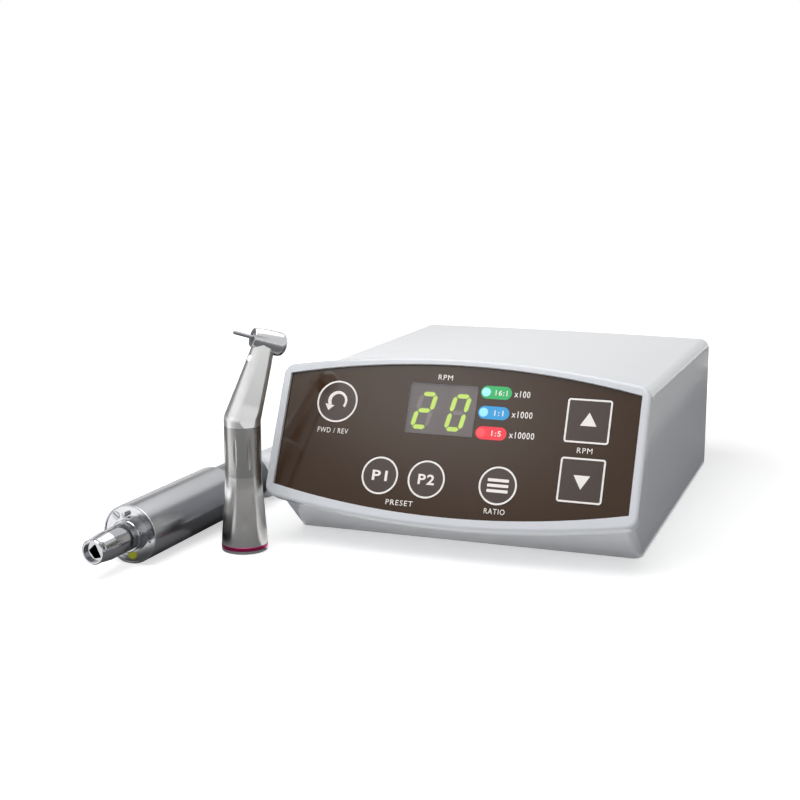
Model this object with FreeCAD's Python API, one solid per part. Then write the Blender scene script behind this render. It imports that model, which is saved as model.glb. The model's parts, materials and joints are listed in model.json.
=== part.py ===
"""Dental micromotor set: control console with its motor, hose and contra-angle handpiece.

Millimetres, +Z up. The origin is the centre of the console's underside, on the table.
-Y is the front, where the control panel is. Every part is written to parts/NODE.step.
"""

import FreeCAD
import Part
import math
import os

# Console housing
BODY_WIDTH = 150.8
BODY_DEPTH = 175.0
SIDE_HEIGHT_FRONT = 68.0
SIDE_HEIGHT_BACK = 64.0
TOP_ARCH_FRONT = 7.0
TOP_ARCH_BACK = 0.4
TOP_EDGE_RADIUS = 4.6
REAR_EDGE_RADIUS = 3.2
CHIN_EDGE_RADIUS = 4.0
INNER_ROUND = 0.7
WALL = 2.5
PANEL_LEAN = 25.84
PANEL_OVERHANG = 26.7
PANEL_CORNER_Z = 25.2
CHIN_ARCH = 7.1
CHIN_CORNER_V = -1.5

# Control panel, in its own plane: x across, v up the slope from the lower corners
PANEL_WIDTH = 150.0
PANEL_SIDE = 48.07
PANEL_ARCH = 7.7
PANEL_THICK = 1.5
BEZEL_MARGIN = 3.5
BEZEL_BACK = 6.0
BEZEL_PROUD = 1.5
BEZEL_ARCH = 7.1
BEZEL_CORNER = 5.0
BEZEL_LOW_V = -4.5
BEZEL_HIGH_V = 51.5
BEZEL_EDGE_RADIUS = 1.4
BEZEL_LEDGE = 1.5

# Keys and lamps on the panel
SQUARE_KEY = 18.15
SQUARE_KEY_CORNER = 1.2
SPEED_KEY_X = 54.5
SPEED_UP_V = 36.5
SPEED_DOWN_V = 12.4
REVERSE_KEY_R = 9.0
REVERSE_KEY_X = -52.7
REVERSE_KEY_V = 37.2
SMALL_KEY_R = 7.9
SMALL_KEY_V = 7.4
MEMORY_KEY_XS = (-29.0, -8.9)
SELECT_KEY_X = 21.2
KEY_GAP = 0.25
KEY_TRAVEL = 0.4
KEY_FLANGE = 1.2
KEY_FLANGE_THICK = 1.0
KEY_FLANGE_GAP = 0.1
STEM_R = 2.0
SWITCH_SIZE = 6.0
SWITCH_HEIGHT = 3.2
SWITCH_GAP = 0.15
WINDOW_X = -6.86
WINDOW_V = 37.1
WINDOW_WIDTH = 29.3
WINDOW_HEIGHT = 21.6
WINDOW_THICK = 1.2
DIGIT_XS = (-14.4, 0.1)
DIGIT_V = 36.3
DIGIT_HEIGHT = 15.9
DIGIT_WIDTH = 8.1
DIGIT_SLANT = 11.0
SEGMENT_WIDTH = 1.8
SEGMENT_GAP = 0.35
SEGMENT_THICK = 0.3
DIGIT_SHAPES = ("abged", "abcdef")
LAMP_X = 15.46
LAMP_VS = (45.6, 37.1, 28.6)
LAMP_LENGTH = 13.0
LAMP_HEIGHT = 5.4
LAMP_DOT_X = 11.25
LAMP_DOT_R = 1.95
LAMP_DOT_RISE = 0.15
LENS_GAP = 0.05

# Boards and power supply inside the console
BOARD_THICK = 1.6
KEY_BOARD_DEPTH = 9.0
KEY_BOARD_WIDTH = 138.0
KEY_BOARD_HEIGHT = 46.0
BASE_THICK = 3.0
BASE_GAP = 0.15
STANDOFF_HEIGHT = 5.0
STANDOFF_R = 3.0
MAIN_BOARD_WIDTH = 110.0
MAIN_BOARD_DEPTH = 110.0
MAIN_BOARD_Y = -5.0
STANDOFF_INSET = 6.0
SUPPLY_SIZE = (46.0, 62.0, 28.0)
PAD_R = 7.0
PAD_DEPTH = 1.5
PAD_GAP = 0.1
PAD_SIDE_INSET = 17.4
PAD_END_INSET = 19.5
SCREW_R = 1.4
SCREW_HEAD_R = 2.8
SCREW_HEAD_HEIGHT = 1.8
SCREW_LENGTH = 12.0
SCREW_SIDE_INSET = 9.4
SCREW_END_INSET = 31.5
POST_R = 4.0
POST_TOP = 16.0

# Sockets in the rear wall
HOSE_SOCKET_X = 10.8
HOSE_SOCKET_Z = 16.0
HOSE_SOCKET_R = 8.0
HOSE_SOCKET_FLANGE_R = 10.5
SOCKET_FLANGE = 2.0
PEDAL_SOCKET_X = -30.0
PEDAL_SOCKET_Z = 26.0
PEDAL_BORE_R = 3.25
PEDAL_BARREL_R = 5.0
PEDAL_BORE_LENGTH = 16.0
PEDAL_FLANGE_R = 7.5
INLET_X = 50.0
INLET_Z = 24.0
INLET_BORE_R = 3.2
INLET_BARREL_R = 4.8
INLET_FLANGE_R = 6.5
INLET_PIN_R = 1.0
INLET_DEPTH = 12.0
ROCKER_X = 50.0
ROCKER_Z = 44.0
ROCKER_WIDTH = 10.0
ROCKER_HEIGHT = 15.0
ROCKER_TILT = 16.0
ROCKER_GAP = 0.4
ROCKER_WELL = 14.0
ROCKER_PIN_R = 1.0
FRAME_BORDER = 2.0
FRAME_PROUD = 1.5

# Motor, along its own axis from the flange face towards the hose
MOTOR_X = -117.0
MOTOR_Y = -162.0
MOTOR_YAW = 3.2
MOTOR_R = 12.2
SLEEVE_LENGTH = 70.0
SLEEVE_WALL = 1.2
SHOULDER_RADIUS = 5.0
PLATE_INSET = 0.5
PLATE_THICK = 4.0
PLATE_GAP = 0.06
BOSS_R = 7.2
BOSS_HEIGHT = 1.6
NOSE_LENGTH = 26.2
NOSE_R = 5.8
NOSE_TIP_R = 5.1
NOSE_STRAIGHT_END = 17.0
NOSE_FLANGE_R = 6.7
NOSE_FLANGE_END = 3.4
GROOVE_START = 6.2
GROOVE_END = 7.6
GROOVE_DEPTH = 0.6
TIP_LIP = 1.9
NOSE_BORE_R = 3.7
TIP_RECESS_R = 4.1
TIP_RECESS = 1.7
DRIVE_WALL = 1.2
DRIVE_CORNERS = ((0.3, -3.05), (-2.85, -0.1), (-0.3, 3.0), (2.85, 2.2))
DRIVE_ROUND = 0.45
PLATE_SCREW_R = 1.55
PLATE_SCREW_ANGLES = (132.0, 8.0, 248.0)
PLATE_SCREW_CIRCLE = 9.5
PLATE_SCREW_SHANK_R = 0.8
PIN_ANGLE = 101.0
PIN_CIRCLE = 8.4
PIN_R = 0.9
PIN_PROUD = 2.4
CONTACT_ANGLES = (58.0, 38.0, -14.0)
CONTACT_CIRCLE = 9.2
CONTACT_R = 0.6
CONTACT_DEPTH = 1.0
MOTOR_LAMP_ANGLE = -85.5
MOTOR_LAMP_CIRCLE = 8.2
MOTOR_LAMP_R = 2.2
BEARING_R = 6.8
BEARING_WIDTH = 4.0
BEARING_HOUSING_WALL = 0.9
SHAFT_R = 2.4
RUNNING_GAP = 0.05
STATOR_START = 15.0
STATOR_END = 55.0
STATOR_BORE_R = 6.8
MAGNET_R = 6.2
WINDING_REACH = 4.5
REAR_R = 10.5
REAR_LENGTH = 33.0
REAR_EDGE = 3.5
CONNECTOR_R = 6.2
CONNECTOR_LENGTH = 11.0
CONNECTOR_GAP = 0.1
CONNECTOR_REACH = 3.0
REAR_SPIGOT = 6.0

# Hose boot, hose and coil
HOSE_R = 4.0
TABLE_GAP = 0.1
TURN_GAP = 0.6
BOOT_GAP = 0.3
BOOT_COLLAR = 4.0
BOOT_COLLAR_R = 7.6
BOOT_SHIFT = 1.5
BOOT_YAW = 4.0
BOOT_R = 10.7
BOOT_FRONT_RADIUS = 3.5
BOOT_STRAIGHT = 30.0
BOOT_LENGTH = 52.0
BOOT_END_R = 5.2
HOSE_Z = HOSE_R + TABLE_GAP
COIL_PITCH = 2 * HOSE_R + TURN_GAP
COIL_START_X = -95.0
COIL_Y = 165.0
COIL_OUTER_R = 52.9
COIL_STEP = COIL_PITCH / 2
COIL_TURNS_IN = 4
PLUG_LENGTH = 26.0
PLUG_R = 8.6
PLUG_END_R = 5.2

# Handpiece, standing on its open end
HANDPIECE_X = -82.5
HANDPIECE_Y = -128.0
LEAN_AZIMUTH = 41.35
NECK_LEAN = 18.0
BASE_R = 9.5
END_RING_HEIGHT = 1.4
COLOUR_RING_HEIGHT = 1.6
COLOUR_RING_R = 9.6
HANDLE_TOP_Z = 52.7
HANDLE_TOP_R = 7.55
FLARE_Z = 32.0
FLARE_SHAPE = ((0.85, 0.18), (0.66, 0.34), (0.3, 0.66), (0.1, 0.83))
HANDLE_WALL = 0.75
FLUTE_COUNT = 8
FLUTE_OFFSET = 4.0
FLUTE_MIDDLE_Z = 42.0
FLUTE_REACH = 12.7
FLUTE_R = 1.3
FLUTE_DEPTH = 0.35
BEND_Z = 55.0
NECK_LENGTH = 32.0
NECK_TOP_R = 4.55
NECK_WALL = 0.8
NECK_FLAT_LOW = 6.3
NECK_FLAT_HIGH = 4.3
NECK_FLAT_FADE = 7.0
NECK_FLAT_SOFTENING = 1.0
HEAD_AT = 33.5
HEAD_FRONT = 5.7
HEAD_BACK = 8.7
HEAD_FRONT_R = 3.9
HEAD_MIDDLE = -1.2
HEAD_MIDDLE_R = 4.85
HEAD_BACK_R = 4.8
HEAD_CAP_RADIUS = 2.8
BUTTON_R = 3.3
BUTTON_THICK = 1.3
BUTTON_TRAVEL = 0.8
BUTTON_GAP = 0.08
LIGHT_AT = 25.0
LIGHT_TURN = 18.0
LIGHT_LENGTH = 2.6
LIGHT_WIDTH = 2.0
SOCKET_START = 0.6
SOCKET_BORE_LENGTH = 17.4
SOCKET_GAP = 0.05
CARTRIDGE_TOP = 41.0
CARTRIDGE_WEB = 2.0
CARTRIDGE_FIT = 0.05
TIP_BORE_GAP = 0.3

# Gear train of the handpiece: input ring to neck pinion, crown wheel to spindle pinion
INPUT_SHAFT_R = 2.0
INPUT_DOG_Z = 19.5
DOG_WIDTH = 1.3
DOG_HEIGHT = 3.0
RING_TEETH = 25
PINION_TEETH = 10
RING_PITCH_R = 5.0
TOOTH_HEIGHT = 0.8
TOOTH_SHARE = 0.3
TIP_GAP = 0.1
GEAR_FACE = 1.0
RING_RIM = 0.45
NECK_SHAFT_R = 1.2
CROWN_TEETH = 16
SPINDLE_TEETH = 8
CROWN_PITCH_R = 2.9
CROWN_FACE = 1.1
CROWN_DISC = 1.2
SPINDLE_R = 1.05
CHUCK_NOSE_R = 1.7
BUR_R = 0.8
BUR_GAP = 0.03
BUR_REACH = 13.9
BUR_DEPTH = 0.4
SPINDLE_BEARING_R = 3.0
SPINDLE_BEARING_WIDTH = 1.2

FULL_TURN = 360.0


def vec(x, y, z):
    return FreeCAD.Vector(x, y, z)


X_AXIS = vec(1, 0, 0)
Y_AXIS = vec(0, 1, 0)
Z_AXIS = vec(0, 0, 1)


def placement(at, axis=Z_AXIS, degrees=0.0):
    return FreeCAD.Placement(at, FreeCAD.Rotation(axis, degrees))


PANEL_FRAME = placement(
    vec(0, -BODY_DEPTH / 2 - PANEL_OVERHANG, PANEL_CORNER_Z), X_AXIS, 90 - PANEL_LEAN
)
MOTOR_FRAME = placement(vec(MOTOR_X, MOTOR_Y, MOTOR_R), Z_AXIS, -MOTOR_YAW).multiply(
    placement(vec(0, 0, 0), X_AXIS, -90)
)
HANDPIECE_FRAME = placement(vec(HANDPIECE_X, HANDPIECE_Y, 0), Z_AXIS, LEAN_AZIMUTH)
NECK_FRAME = HANDPIECE_FRAME.multiply(placement(vec(0, 0, BEND_Z), Y_AXIS, NECK_LEAN))
HEAD_FRAME = NECK_FRAME.multiply(placement(vec(0, 0, HEAD_AT), Y_AXIS, -90))


def put(shape, frame):
    """The shape moved from its own frame into the console's."""
    moved = shape.copy()
    moved.Placement = frame.multiply(shape.Placement)
    return moved


def box(x0, x1, y0, y1, z0, z1):
    return Part.makeBox(x1 - x0, y1 - y0, z1 - z0, vec(x0, y0, z0))


def rod(radius, z0, z1, x=0.0, y=0.0):
    return Part.makeCylinder(radius, z1 - z0, vec(x, y, z0))


def tube(outer, inner, z0, z1):
    return rod(outer, z0, z1).cut(rod(inner, z0 - 1, z1 + 1))


def turned(profile):
    """A solid turned about Z from a closed profile of (radius, z) points."""
    points = [vec(r, 0, z) for r, z in profile]
    face = Part.Face(Part.makePolygon(points + points[:1]))
    return face.revolve(vec(0, 0, 0), Z_AXIS, FULL_TURN)


def polar(radius, degrees):
    """A point on a circle in a frame whose Y axis points down, seen from the front."""
    turn = math.radians(degrees)
    return radius * math.cos(turn), -radius * math.sin(turn)


def join(shapes):
    return shapes[0].multiFuse(shapes[1:]) if len(shapes) > 1 else shapes[0]


def rounded_plate(x, v, width, height, corner, n0, n1):
    """A flat plate with rounded corners, in the panel's own frame."""
    plate = box(x - width / 2, x + width / 2, v - height / 2, v + height / 2, n0, n1)
    upright = [e for e in plate.Edges if abs(e.tangentAt(e.FirstParameter).z) > 0.9]
    return plate.makeFillet(corner, upright)


def arc_edge(a, middle, b):
    return Part.Arc(a, middle, b).toShape()


def arched_plate(half, low, high, arch_low, arch_high, n0, n1):
    """The panel's outline: straight sides, with the lower and upper edges bowed outwards."""
    corners = [vec(-half, low, n0), vec(half, low, n0), vec(half, high, n0), vec(-half, high, n0)]
    wire = Part.Wire(
        [
            arc_edge(corners[0], vec(0, low - arch_low, n0), corners[1]),
            Part.LineSegment(corners[1], corners[2]).toShape(),
            arc_edge(corners[2], vec(0, high + arch_high, n0), corners[3]),
            Part.LineSegment(corners[3], corners[0]).toShape(),
        ]
    )
    return Part.Face(wire).extrude(vec(0, 0, n1 - n0))


def panel_outline(grow, n0, n1):
    return arched_plate(
        PANEL_WIDTH / 2 + grow, -grow, PANEL_SIDE + grow, PANEL_ARCH, PANEL_ARCH, n0, n1
    )


# Housing


def housing_section(y, inset):
    """One upright section of the housing: flat sides and a top that bows up."""
    share = (y + BODY_DEPTH / 2) / BODY_DEPTH
    side = SIDE_HEIGHT_FRONT + (SIDE_HEIGHT_BACK - SIDE_HEIGHT_FRONT) * share - inset
    arch = TOP_ARCH_FRONT + (TOP_ARCH_BACK - TOP_ARCH_FRONT) * share
    half = BODY_WIDTH / 2 - inset
    radius = max(TOP_EDGE_RADIUS - inset, INNER_ROUND)
    bevel = radius * (1 - math.sqrt(0.5))
    low = -2 * inset
    right = [vec(half, y, side - radius), vec(half - bevel, y, side - bevel), vec(half - radius, y, side)]
    left = [vec(-p.x, y, p.z) for p in right]
    top = vec(0, y, side + arch)
    return Part.Wire(
        [
            Part.LineSegment(vec(-half, y, low), vec(half, y, low)).toShape(),
            Part.LineSegment(vec(half, y, low), right[0]).toShape(),
            arc_edge(*right),
            arc_edge(right[2], top, left[2]),
            arc_edge(left[2], left[1], left[0]),
            Part.LineSegment(left[0], vec(-half, y, low)).toShape(),
        ]
    )


def chin_slope():
    """Slope of the chin at its corners, where it is steepest, in radians."""
    top = PANEL_FRAME.multVec(vec(0, CHIN_CORNER_V, 0))
    return math.atan2(top.z, -BODY_DEPTH / 2 - top.y)


def chin_cutter():
    """The space below the chin, which runs from the bezel's lower arc to a straight foot."""
    half = BODY_WIDTH / 2 + 10
    radius = ((BODY_WIDTH / 2) ** 2 + CHIN_ARCH**2) / (2 * CHIN_ARCH)
    centre_v = CHIN_CORNER_V - CHIN_ARCH
    edge_v = centre_v + radius - math.sqrt(radius**2 - half**2)
    places = ((-half, edge_v), (0, centre_v), (half, edge_v))
    ends = [PANEL_FRAME.multVec(vec(x, v, 0)) for x, v in places]
    foot = -BODY_DEPTH / 2
    lower = Part.LineSegment(vec(-half, foot, 0), vec(half, foot, 0)).toShape()
    surface = Part.makeRuledSurface(arc_edge(*ends), lower)
    return surface.extrude(vec(0, -BODY_DEPTH, -BODY_DEPTH))


def chin_inner_foot():
    """Where the chin's inner face meets the table."""
    return -BODY_DEPTH / 2 + WALL / math.sin(chin_slope())


def chin_inner_cutter():
    """The space below the chin's flat inner face."""
    half = BODY_WIDTH
    rise = math.tan(chin_slope())
    foot = chin_inner_foot()
    high = vec(-half, foot - 60, 60 * rise)
    low = vec(-half, foot + 20, -20 * rise)
    side = Part.Face(Part.makePolygon([high, low, vec(-half, high.y, low.z), high]))
    return side.extrude(vec(2 * half, 0, 0))


def housing_block(inset):
    """The housing's outer form, or its inner space when inset by the wall."""
    ahead = -BODY_DEPTH / 2 - PANEL_OVERHANG - 20
    behind = BODY_DEPTH / 2 - inset
    block = Part.makeLoft([housing_section(ahead, inset), housing_section(behind, inset)], True, True)
    rear_edges = []
    for edge in block.Edges:
        ends = edge.BoundBox
        at_rear = ends.YMin > behind - 0.01
        if at_rear and ends.ZMax > 1:
            rear_edges.append(edge)
    block = block.makeFillet(max(REAR_EDGE_RADIUS - inset, INNER_ROUND), rear_edges)
    return block.cut(chin_inner_cutter() if inset else chin_cutter())


def front_space(n):
    """Everything ahead of a plane parallel to the panel, n in front of it."""
    return put(box(-BODY_WIDTH, BODY_WIDTH, -60, 120, n, n + 90), PANEL_FRAME)


def rear_rod(radius, x, z, y0, y1):
    """A round piece along Y."""
    return Part.makeCylinder(radius, y1 - y0, vec(x, y0, z), Y_AXIS)


def four_places(side_inset, end_inset):
    """Four points on the base, one near each corner."""
    x = BODY_WIDTH / 2 - side_inset
    y = BODY_DEPTH / 2 - end_inset
    return [(sx * x, sy * y) for sx in (-1, 1) for sy in (-1, 1)]


def screw_places():
    return four_places(SCREW_SIDE_INSET, SCREW_END_INSET)


def rounded_housing():
    """The housing's outer form with the chin's side edges rounded."""
    block = housing_block(0)
    chin_edges = []
    for edge in block.Edges:
        span = edge.BoundBox
        at_side = span.XLength < 0.01 and abs(abs(span.XMin) - BODY_WIDTH / 2) < 0.01
        in_front = span.YMax < 1 - BODY_DEPTH / 2
        if at_side and in_front and min(span.YLength, span.ZLength) > 1:
            chin_edges.append(edge)
    return block.makeFillet(CHIN_EDGE_RADIUS, chin_edges)


def make_cover_shell():
    shell = rounded_housing().cut(housing_block(WALL))
    shell = shell.cut(front_space(-BEZEL_BACK))
    outside = BODY_DEPTH / 2
    posts = []
    for x, y in screw_places():
        wall_x = math.copysign(BODY_WIDTH / 2 - WALL / 2, x)
        foot = BASE_THICK + LENS_GAP
        rib = box(min(x, wall_x), max(x, wall_x), y - 1, y + 1, foot, POST_TOP)
        post = rod(POST_R, foot, POST_TOP, x, y).fuse(rib)
        posts.append(post.cut(rod(SCREW_R, 0, POST_TOP - 1, x, y)))
    shell = shell.multiFuse(posts)
    holes = [
        rear_rod(HOSE_SOCKET_R + KEY_GAP, HOSE_SOCKET_X, HOSE_SOCKET_Z, outside - 9, outside + 5),
        rear_rod(PEDAL_BARREL_R + KEY_GAP, PEDAL_SOCKET_X, PEDAL_SOCKET_Z, outside - 9, outside + 5),
        rear_rod(INLET_BARREL_R + KEY_GAP, INLET_X, INLET_Z, outside - 9, outside + 5),
        rocker_opening(ROCKER_GAP + FRAME_BORDER / 2 + PAD_GAP),
    ]
    return shell.cut(join(holes))


def make_base_plate():
    half = BODY_WIDTH / 2 - WALL - BASE_GAP
    back = BODY_DEPTH / 2 - WALL - BASE_GAP
    front = chin_inner_foot() + BASE_GAP
    plate = box(-half, half, front, back, 0, BASE_THICK)
    rear_corners = [e for e in plate.Edges if e.BoundBox.YMin > back - 0.01 and e.BoundBox.ZLength > 1]
    plate = plate.makeFillet(REAR_EDGE_RADIUS, rear_corners)
    board_z = BASE_THICK + STANDOFF_HEIGHT
    plate = plate.fuse(join([rod(STANDOFF_R, BASE_THICK, board_z, x, y) for x, y in standoff_places()]))
    cuts = [rod(PAD_R + PAD_GAP, -1, PAD_DEPTH, x, y) for x, y in pad_places()]
    for x, y in screw_places():
        cuts.append(rod(SCREW_R + PAD_GAP, -1, BASE_THICK + 1, x, y))
        cuts.append(rod(SCREW_HEAD_R + PAD_GAP, -1, SCREW_HEAD_HEIGHT, x, y))
    return plate.cut(join(cuts))


def standoff_places():
    dx = MAIN_BOARD_WIDTH / 2 - STANDOFF_INSET
    dy = MAIN_BOARD_DEPTH / 2 - STANDOFF_INSET
    return [(sx * dx, MAIN_BOARD_Y + sy * dy) for sx in (-1, 1) for sy in (-1, 1)]


def pad_places():
    return four_places(PAD_SIDE_INSET, PAD_END_INSET)


def make_rubber_pads():
    return Part.makeCompound([rod(PAD_R, 0, PAD_DEPTH, x, y) for x, y in pad_places()])


def make_case_screws():
    screws = []
    for x, y in screw_places():
        head = rod(SCREW_HEAD_R, 0.3, SCREW_HEAD_HEIGHT, x, y)
        slot = box(x - SCREW_HEAD_R, x + SCREW_HEAD_R, y - 0.4, y + 0.4, 0, 1.0)
        shank = rod(SCREW_R - PAD_GAP / 2, SCREW_HEAD_HEIGHT - 0.1, SCREW_LENGTH, x, y)
        screws.append(head.cut(slot).fuse(shank))
    return Part.makeCompound(screws)


def make_front_bezel():
    """The frame round the panel, with a ledge that the panel lies on."""
    outer = arched_plate(
        PANEL_WIDTH / 2 + BEZEL_MARGIN,
        BEZEL_LOW_V,
        BEZEL_HIGH_V,
        BEZEL_ARCH,
        BEZEL_ARCH,
        -BEZEL_BACK,
        BEZEL_PROUD,
    )
    corners = [e for e in outer.Edges if abs(e.tangentAt(e.FirstParameter).z) > 0.9]
    outer = outer.makeFillet(BEZEL_CORNER, corners)
    rim = [e for e in outer.Edges if e.BoundBox.ZMin > BEZEL_PROUD - 0.01]
    outer = outer.makeFillet(BEZEL_EDGE_RADIUS, rim)
    through = panel_outline(-BEZEL_LEDGE, -BEZEL_BACK - 1, BEZEL_PROUD + 1)
    rebate = panel_outline(LENS_GAP, -PANEL_THICK, BEZEL_PROUD + 1)
    return put(outer.cut(through).cut(rebate), PANEL_FRAME)


# Control panel, keys and display


def round_keys():
    """Name, x, v and radius of each round key."""
    return [
        ("reverse_key", REVERSE_KEY_X, REVERSE_KEY_V, REVERSE_KEY_R),
        ("memory_key_1", MEMORY_KEY_XS[0], SMALL_KEY_V, SMALL_KEY_R),
        ("memory_key_2", MEMORY_KEY_XS[1], SMALL_KEY_V, SMALL_KEY_R),
        ("select_key", SELECT_KEY_X, SMALL_KEY_V, SMALL_KEY_R),
    ]


def square_keys():
    """Name, x and v of each square key."""
    return [
        ("speed_up_key", SPEED_KEY_X, SPEED_UP_V),
        ("speed_down_key", SPEED_KEY_X, SPEED_DOWN_V),
    ]


def key_places():
    return [k[1:3] for k in round_keys()] + [k[1:3] for k in square_keys()]


def lamp_pill(v, grow, n0, n1):
    height = LAMP_HEIGHT + 2 * grow
    return rounded_plate(LAMP_X, v, LAMP_LENGTH + 2 * grow, height, height / 2 - 0.01, n0, n1)


def make_control_panel():
    panel = panel_outline(0, -PANEL_THICK, 0)
    low, high = -PANEL_THICK - 1, 1
    holes = [rod(r + KEY_GAP, low, high, x, v) for _, x, v, r in round_keys()]
    for _, x, v in square_keys():
        size = SQUARE_KEY + 2 * KEY_GAP
        holes.append(rounded_plate(x, v, size, size, SQUARE_KEY_CORNER + KEY_GAP, low, high))
    holes += [lamp_pill(v, LENS_GAP, low, high) for v in LAMP_VS]
    width = WINDOW_WIDTH + 2 * LENS_GAP
    height = WINDOW_HEIGHT + 2 * LENS_GAP
    holes.append(rounded_plate(WINDOW_X, WINDOW_V, width, height, 0.6, low, high))
    return put(panel.cut(join(holes)), PANEL_FRAME)


def key_stem(x, v):
    """The stem behind a key: it ends just above the plunger of its switch."""
    end = -KEY_BOARD_DEPTH + SWITCH_HEIGHT + KEY_TRAVEL + SWITCH_GAP
    return rod(STEM_R, end, -PANEL_THICK, x, v)


def make_round_key(x, v, radius):
    cap = rod(radius, -PANEL_THICK - KEY_FLANGE_GAP, 0, x, v)
    low = -PANEL_THICK - KEY_FLANGE_GAP - KEY_FLANGE_THICK
    flange = rod(radius + KEY_FLANGE, low, -PANEL_THICK - KEY_FLANGE_GAP, x, v)
    return put(join([cap, flange, key_stem(x, v)]), PANEL_FRAME)


def make_square_key(x, v):
    top = -PANEL_THICK - KEY_FLANGE_GAP
    cap = rounded_plate(x, v, SQUARE_KEY, SQUARE_KEY, SQUARE_KEY_CORNER, top, 0)
    wide = SQUARE_KEY + 2 * KEY_FLANGE
    flange = rounded_plate(x, v, wide, wide, SQUARE_KEY_CORNER, top - KEY_FLANGE_THICK, top)
    return put(join([cap, flange, key_stem(x, v)]), PANEL_FRAME)


def make_key_board():
    v = PANEL_SIDE / 2
    top = -KEY_BOARD_DEPTH
    half = KEY_BOARD_WIDTH / 2
    return put(
        box(-half, half, v - KEY_BOARD_HEIGHT / 2, v + KEY_BOARD_HEIGHT / 2, top - BOARD_THICK, top),
        PANEL_FRAME,
    )


def make_key_switches():
    top = -KEY_BOARD_DEPTH
    half = SWITCH_SIZE / 2
    switches = []
    for x, v in key_places():
        case = box(x - half, x + half, v - half, v + half, top, top + SWITCH_HEIGHT - 0.7)
        plunger = rod(STEM_R * 0.8, top + 1, top + SWITCH_HEIGHT, x, v)
        switches.append(case.fuse(plunger))
    return put(Part.makeCompound(switches), PANEL_FRAME)


def segment_outline(letter, cx):
    """Corner points of one bar of a seven-bar digit, slanted to the right."""
    w = SEGMENT_WIDTH / 2
    half_w = DIGIT_WIDTH / 2 - w - math.tan(math.radians(DIGIT_SLANT)) * w
    half_h = DIGIT_HEIGHT / 2 - w
    g = SEGMENT_GAP
    level = {"a": half_h, "g": 0.0, "d": -half_h}
    if letter in level:
        v = level[letter]
        a, b = -half_w + g, half_w - g
        points = [(a, v), (a + w, v + w), (b - w, v + w), (b, v), (b - w, v - w), (a + w, v - w)]
    else:
        x = half_w if letter in "bc" else -half_w
        low, high = (g, half_h - g) if letter in "bf" else (-half_h + g, -g)
        points = [
            (x, low),
            (x + w, low + w),
            (x + w, high - w),
            (x, high),
            (x - w, high - w),
            (x - w, low + w),
        ]
    lean = math.tan(math.radians(DIGIT_SLANT))
    return [(cx + x + lean * v, DIGIT_V + v) for x, v in points]


def segment_plate(letter, cx, n0, n1):
    points = [vec(x, v, n0) for x, v in segment_outline(letter, cx)]
    return Part.Face(Part.makePolygon(points + points[:1])).extrude(vec(0, 0, n1 - n0))


def make_lit_segments():
    base = -WINDOW_THICK - LENS_GAP - SEGMENT_THICK
    plates = []
    for cx, letters in zip(DIGIT_XS, DIGIT_SHAPES):
        plates += [segment_plate(s, cx, base, base + SEGMENT_THICK) for s in letters]
    return put(Part.makeCompound(plates), PANEL_FRAME)


def make_display_module():
    """The block behind the window; unlit bars stand a little proud of its face."""
    face = -WINDOW_THICK - LENS_GAP - SEGMENT_THICK
    half_width, half_height = WINDOW_WIDTH / 2, WINDOW_HEIGHT / 2
    block = box(
        WINDOW_X - half_width,
        WINDOW_X + half_width,
        WINDOW_V - half_height,
        WINDOW_V + half_height,
        -KEY_BOARD_DEPTH,
        face,
    )
    bars = []
    for cx, letters in zip(DIGIT_XS, DIGIT_SHAPES):
        bars += [segment_plate(s, cx, face - 0.2, face + 0.1) for s in "abcdefg" if s not in letters]
    return put(block.multiFuse(bars), PANEL_FRAME)


def make_display_window():
    pane = rounded_plate(WINDOW_X, WINDOW_V, WINDOW_WIDTH, WINDOW_HEIGHT, 0.6, -WINDOW_THICK, 0)
    return put(pane, PANEL_FRAME)


def make_ratio_lamp(v):
    """A pill-shaped lens with a raised round lamp at its left end and a light pipe behind."""
    pill = lamp_pill(v, 0, -PANEL_THICK, 0)
    dot = rod(LAMP_DOT_R, -PANEL_THICK, LAMP_DOT_RISE, LAMP_DOT_X, v)
    pipe = rod(LAMP_DOT_R, -KEY_BOARD_DEPTH, -PANEL_THICK, LAMP_DOT_X, v)
    return put(join([pill, dot, pipe]), PANEL_FRAME)


# Inside the console


def main_board_z():
    return BASE_THICK + STANDOFF_HEIGHT


def make_main_board():
    z = main_board_z()
    y = MAIN_BOARD_Y
    w, d = MAIN_BOARD_WIDTH / 2, MAIN_BOARD_DEPTH / 2
    board = box(-w, w, y - d, y + d, z, z + BOARD_THICK)
    top = z + BOARD_THICK
    chips = [box(-40, -28, y - 30, y - 18, top, top + 2), box(-15, -3, y - 30, y - 18, top, top + 2)]
    capacitors = [rod(5, top, top + 14, -42 + 14 * i, y + 30) for i in range(3)]
    sink = [box(-46 + 4 * i, -44.5 + 4 * i, y - 8, y + 16, top, top + 16) for i in range(8)]
    foot = box(-46, -16.5, y - 8, y + 16, top, top + 2)
    return board.multiFuse(chips + capacitors + sink + [foot])


def make_power_supply():
    """The transformer block on the main board."""
    w, d, h = SUPPLY_SIZE
    z = main_board_z() + BOARD_THICK
    x = MAIN_BOARD_WIDTH / 2 - w - 3
    core = box(x, x + w, MAIN_BOARD_Y - d / 2, MAIN_BOARD_Y + d / 2, z, z + h)
    cap = box(x + 8, x + w - 8, MAIN_BOARD_Y - d / 2 + 6, MAIN_BOARD_Y + d / 2 - 6, z + h, z + h + 3)
    return core.fuse(cap)


def rear_socket(x, z, barrel, flange_r, depth):
    """A round panel socket: barrel through the rear wall, flange outside and nut inside."""
    out = BODY_DEPTH / 2
    inner = out - WALL
    flange = rear_rod(flange_r, x, z, out, out + SOCKET_FLANGE)
    body = rear_rod(barrel, x, z, out - depth, out)
    nut = rear_rod(flange_r, x, z, inner - 2, inner)
    return join([flange, body, nut])


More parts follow.
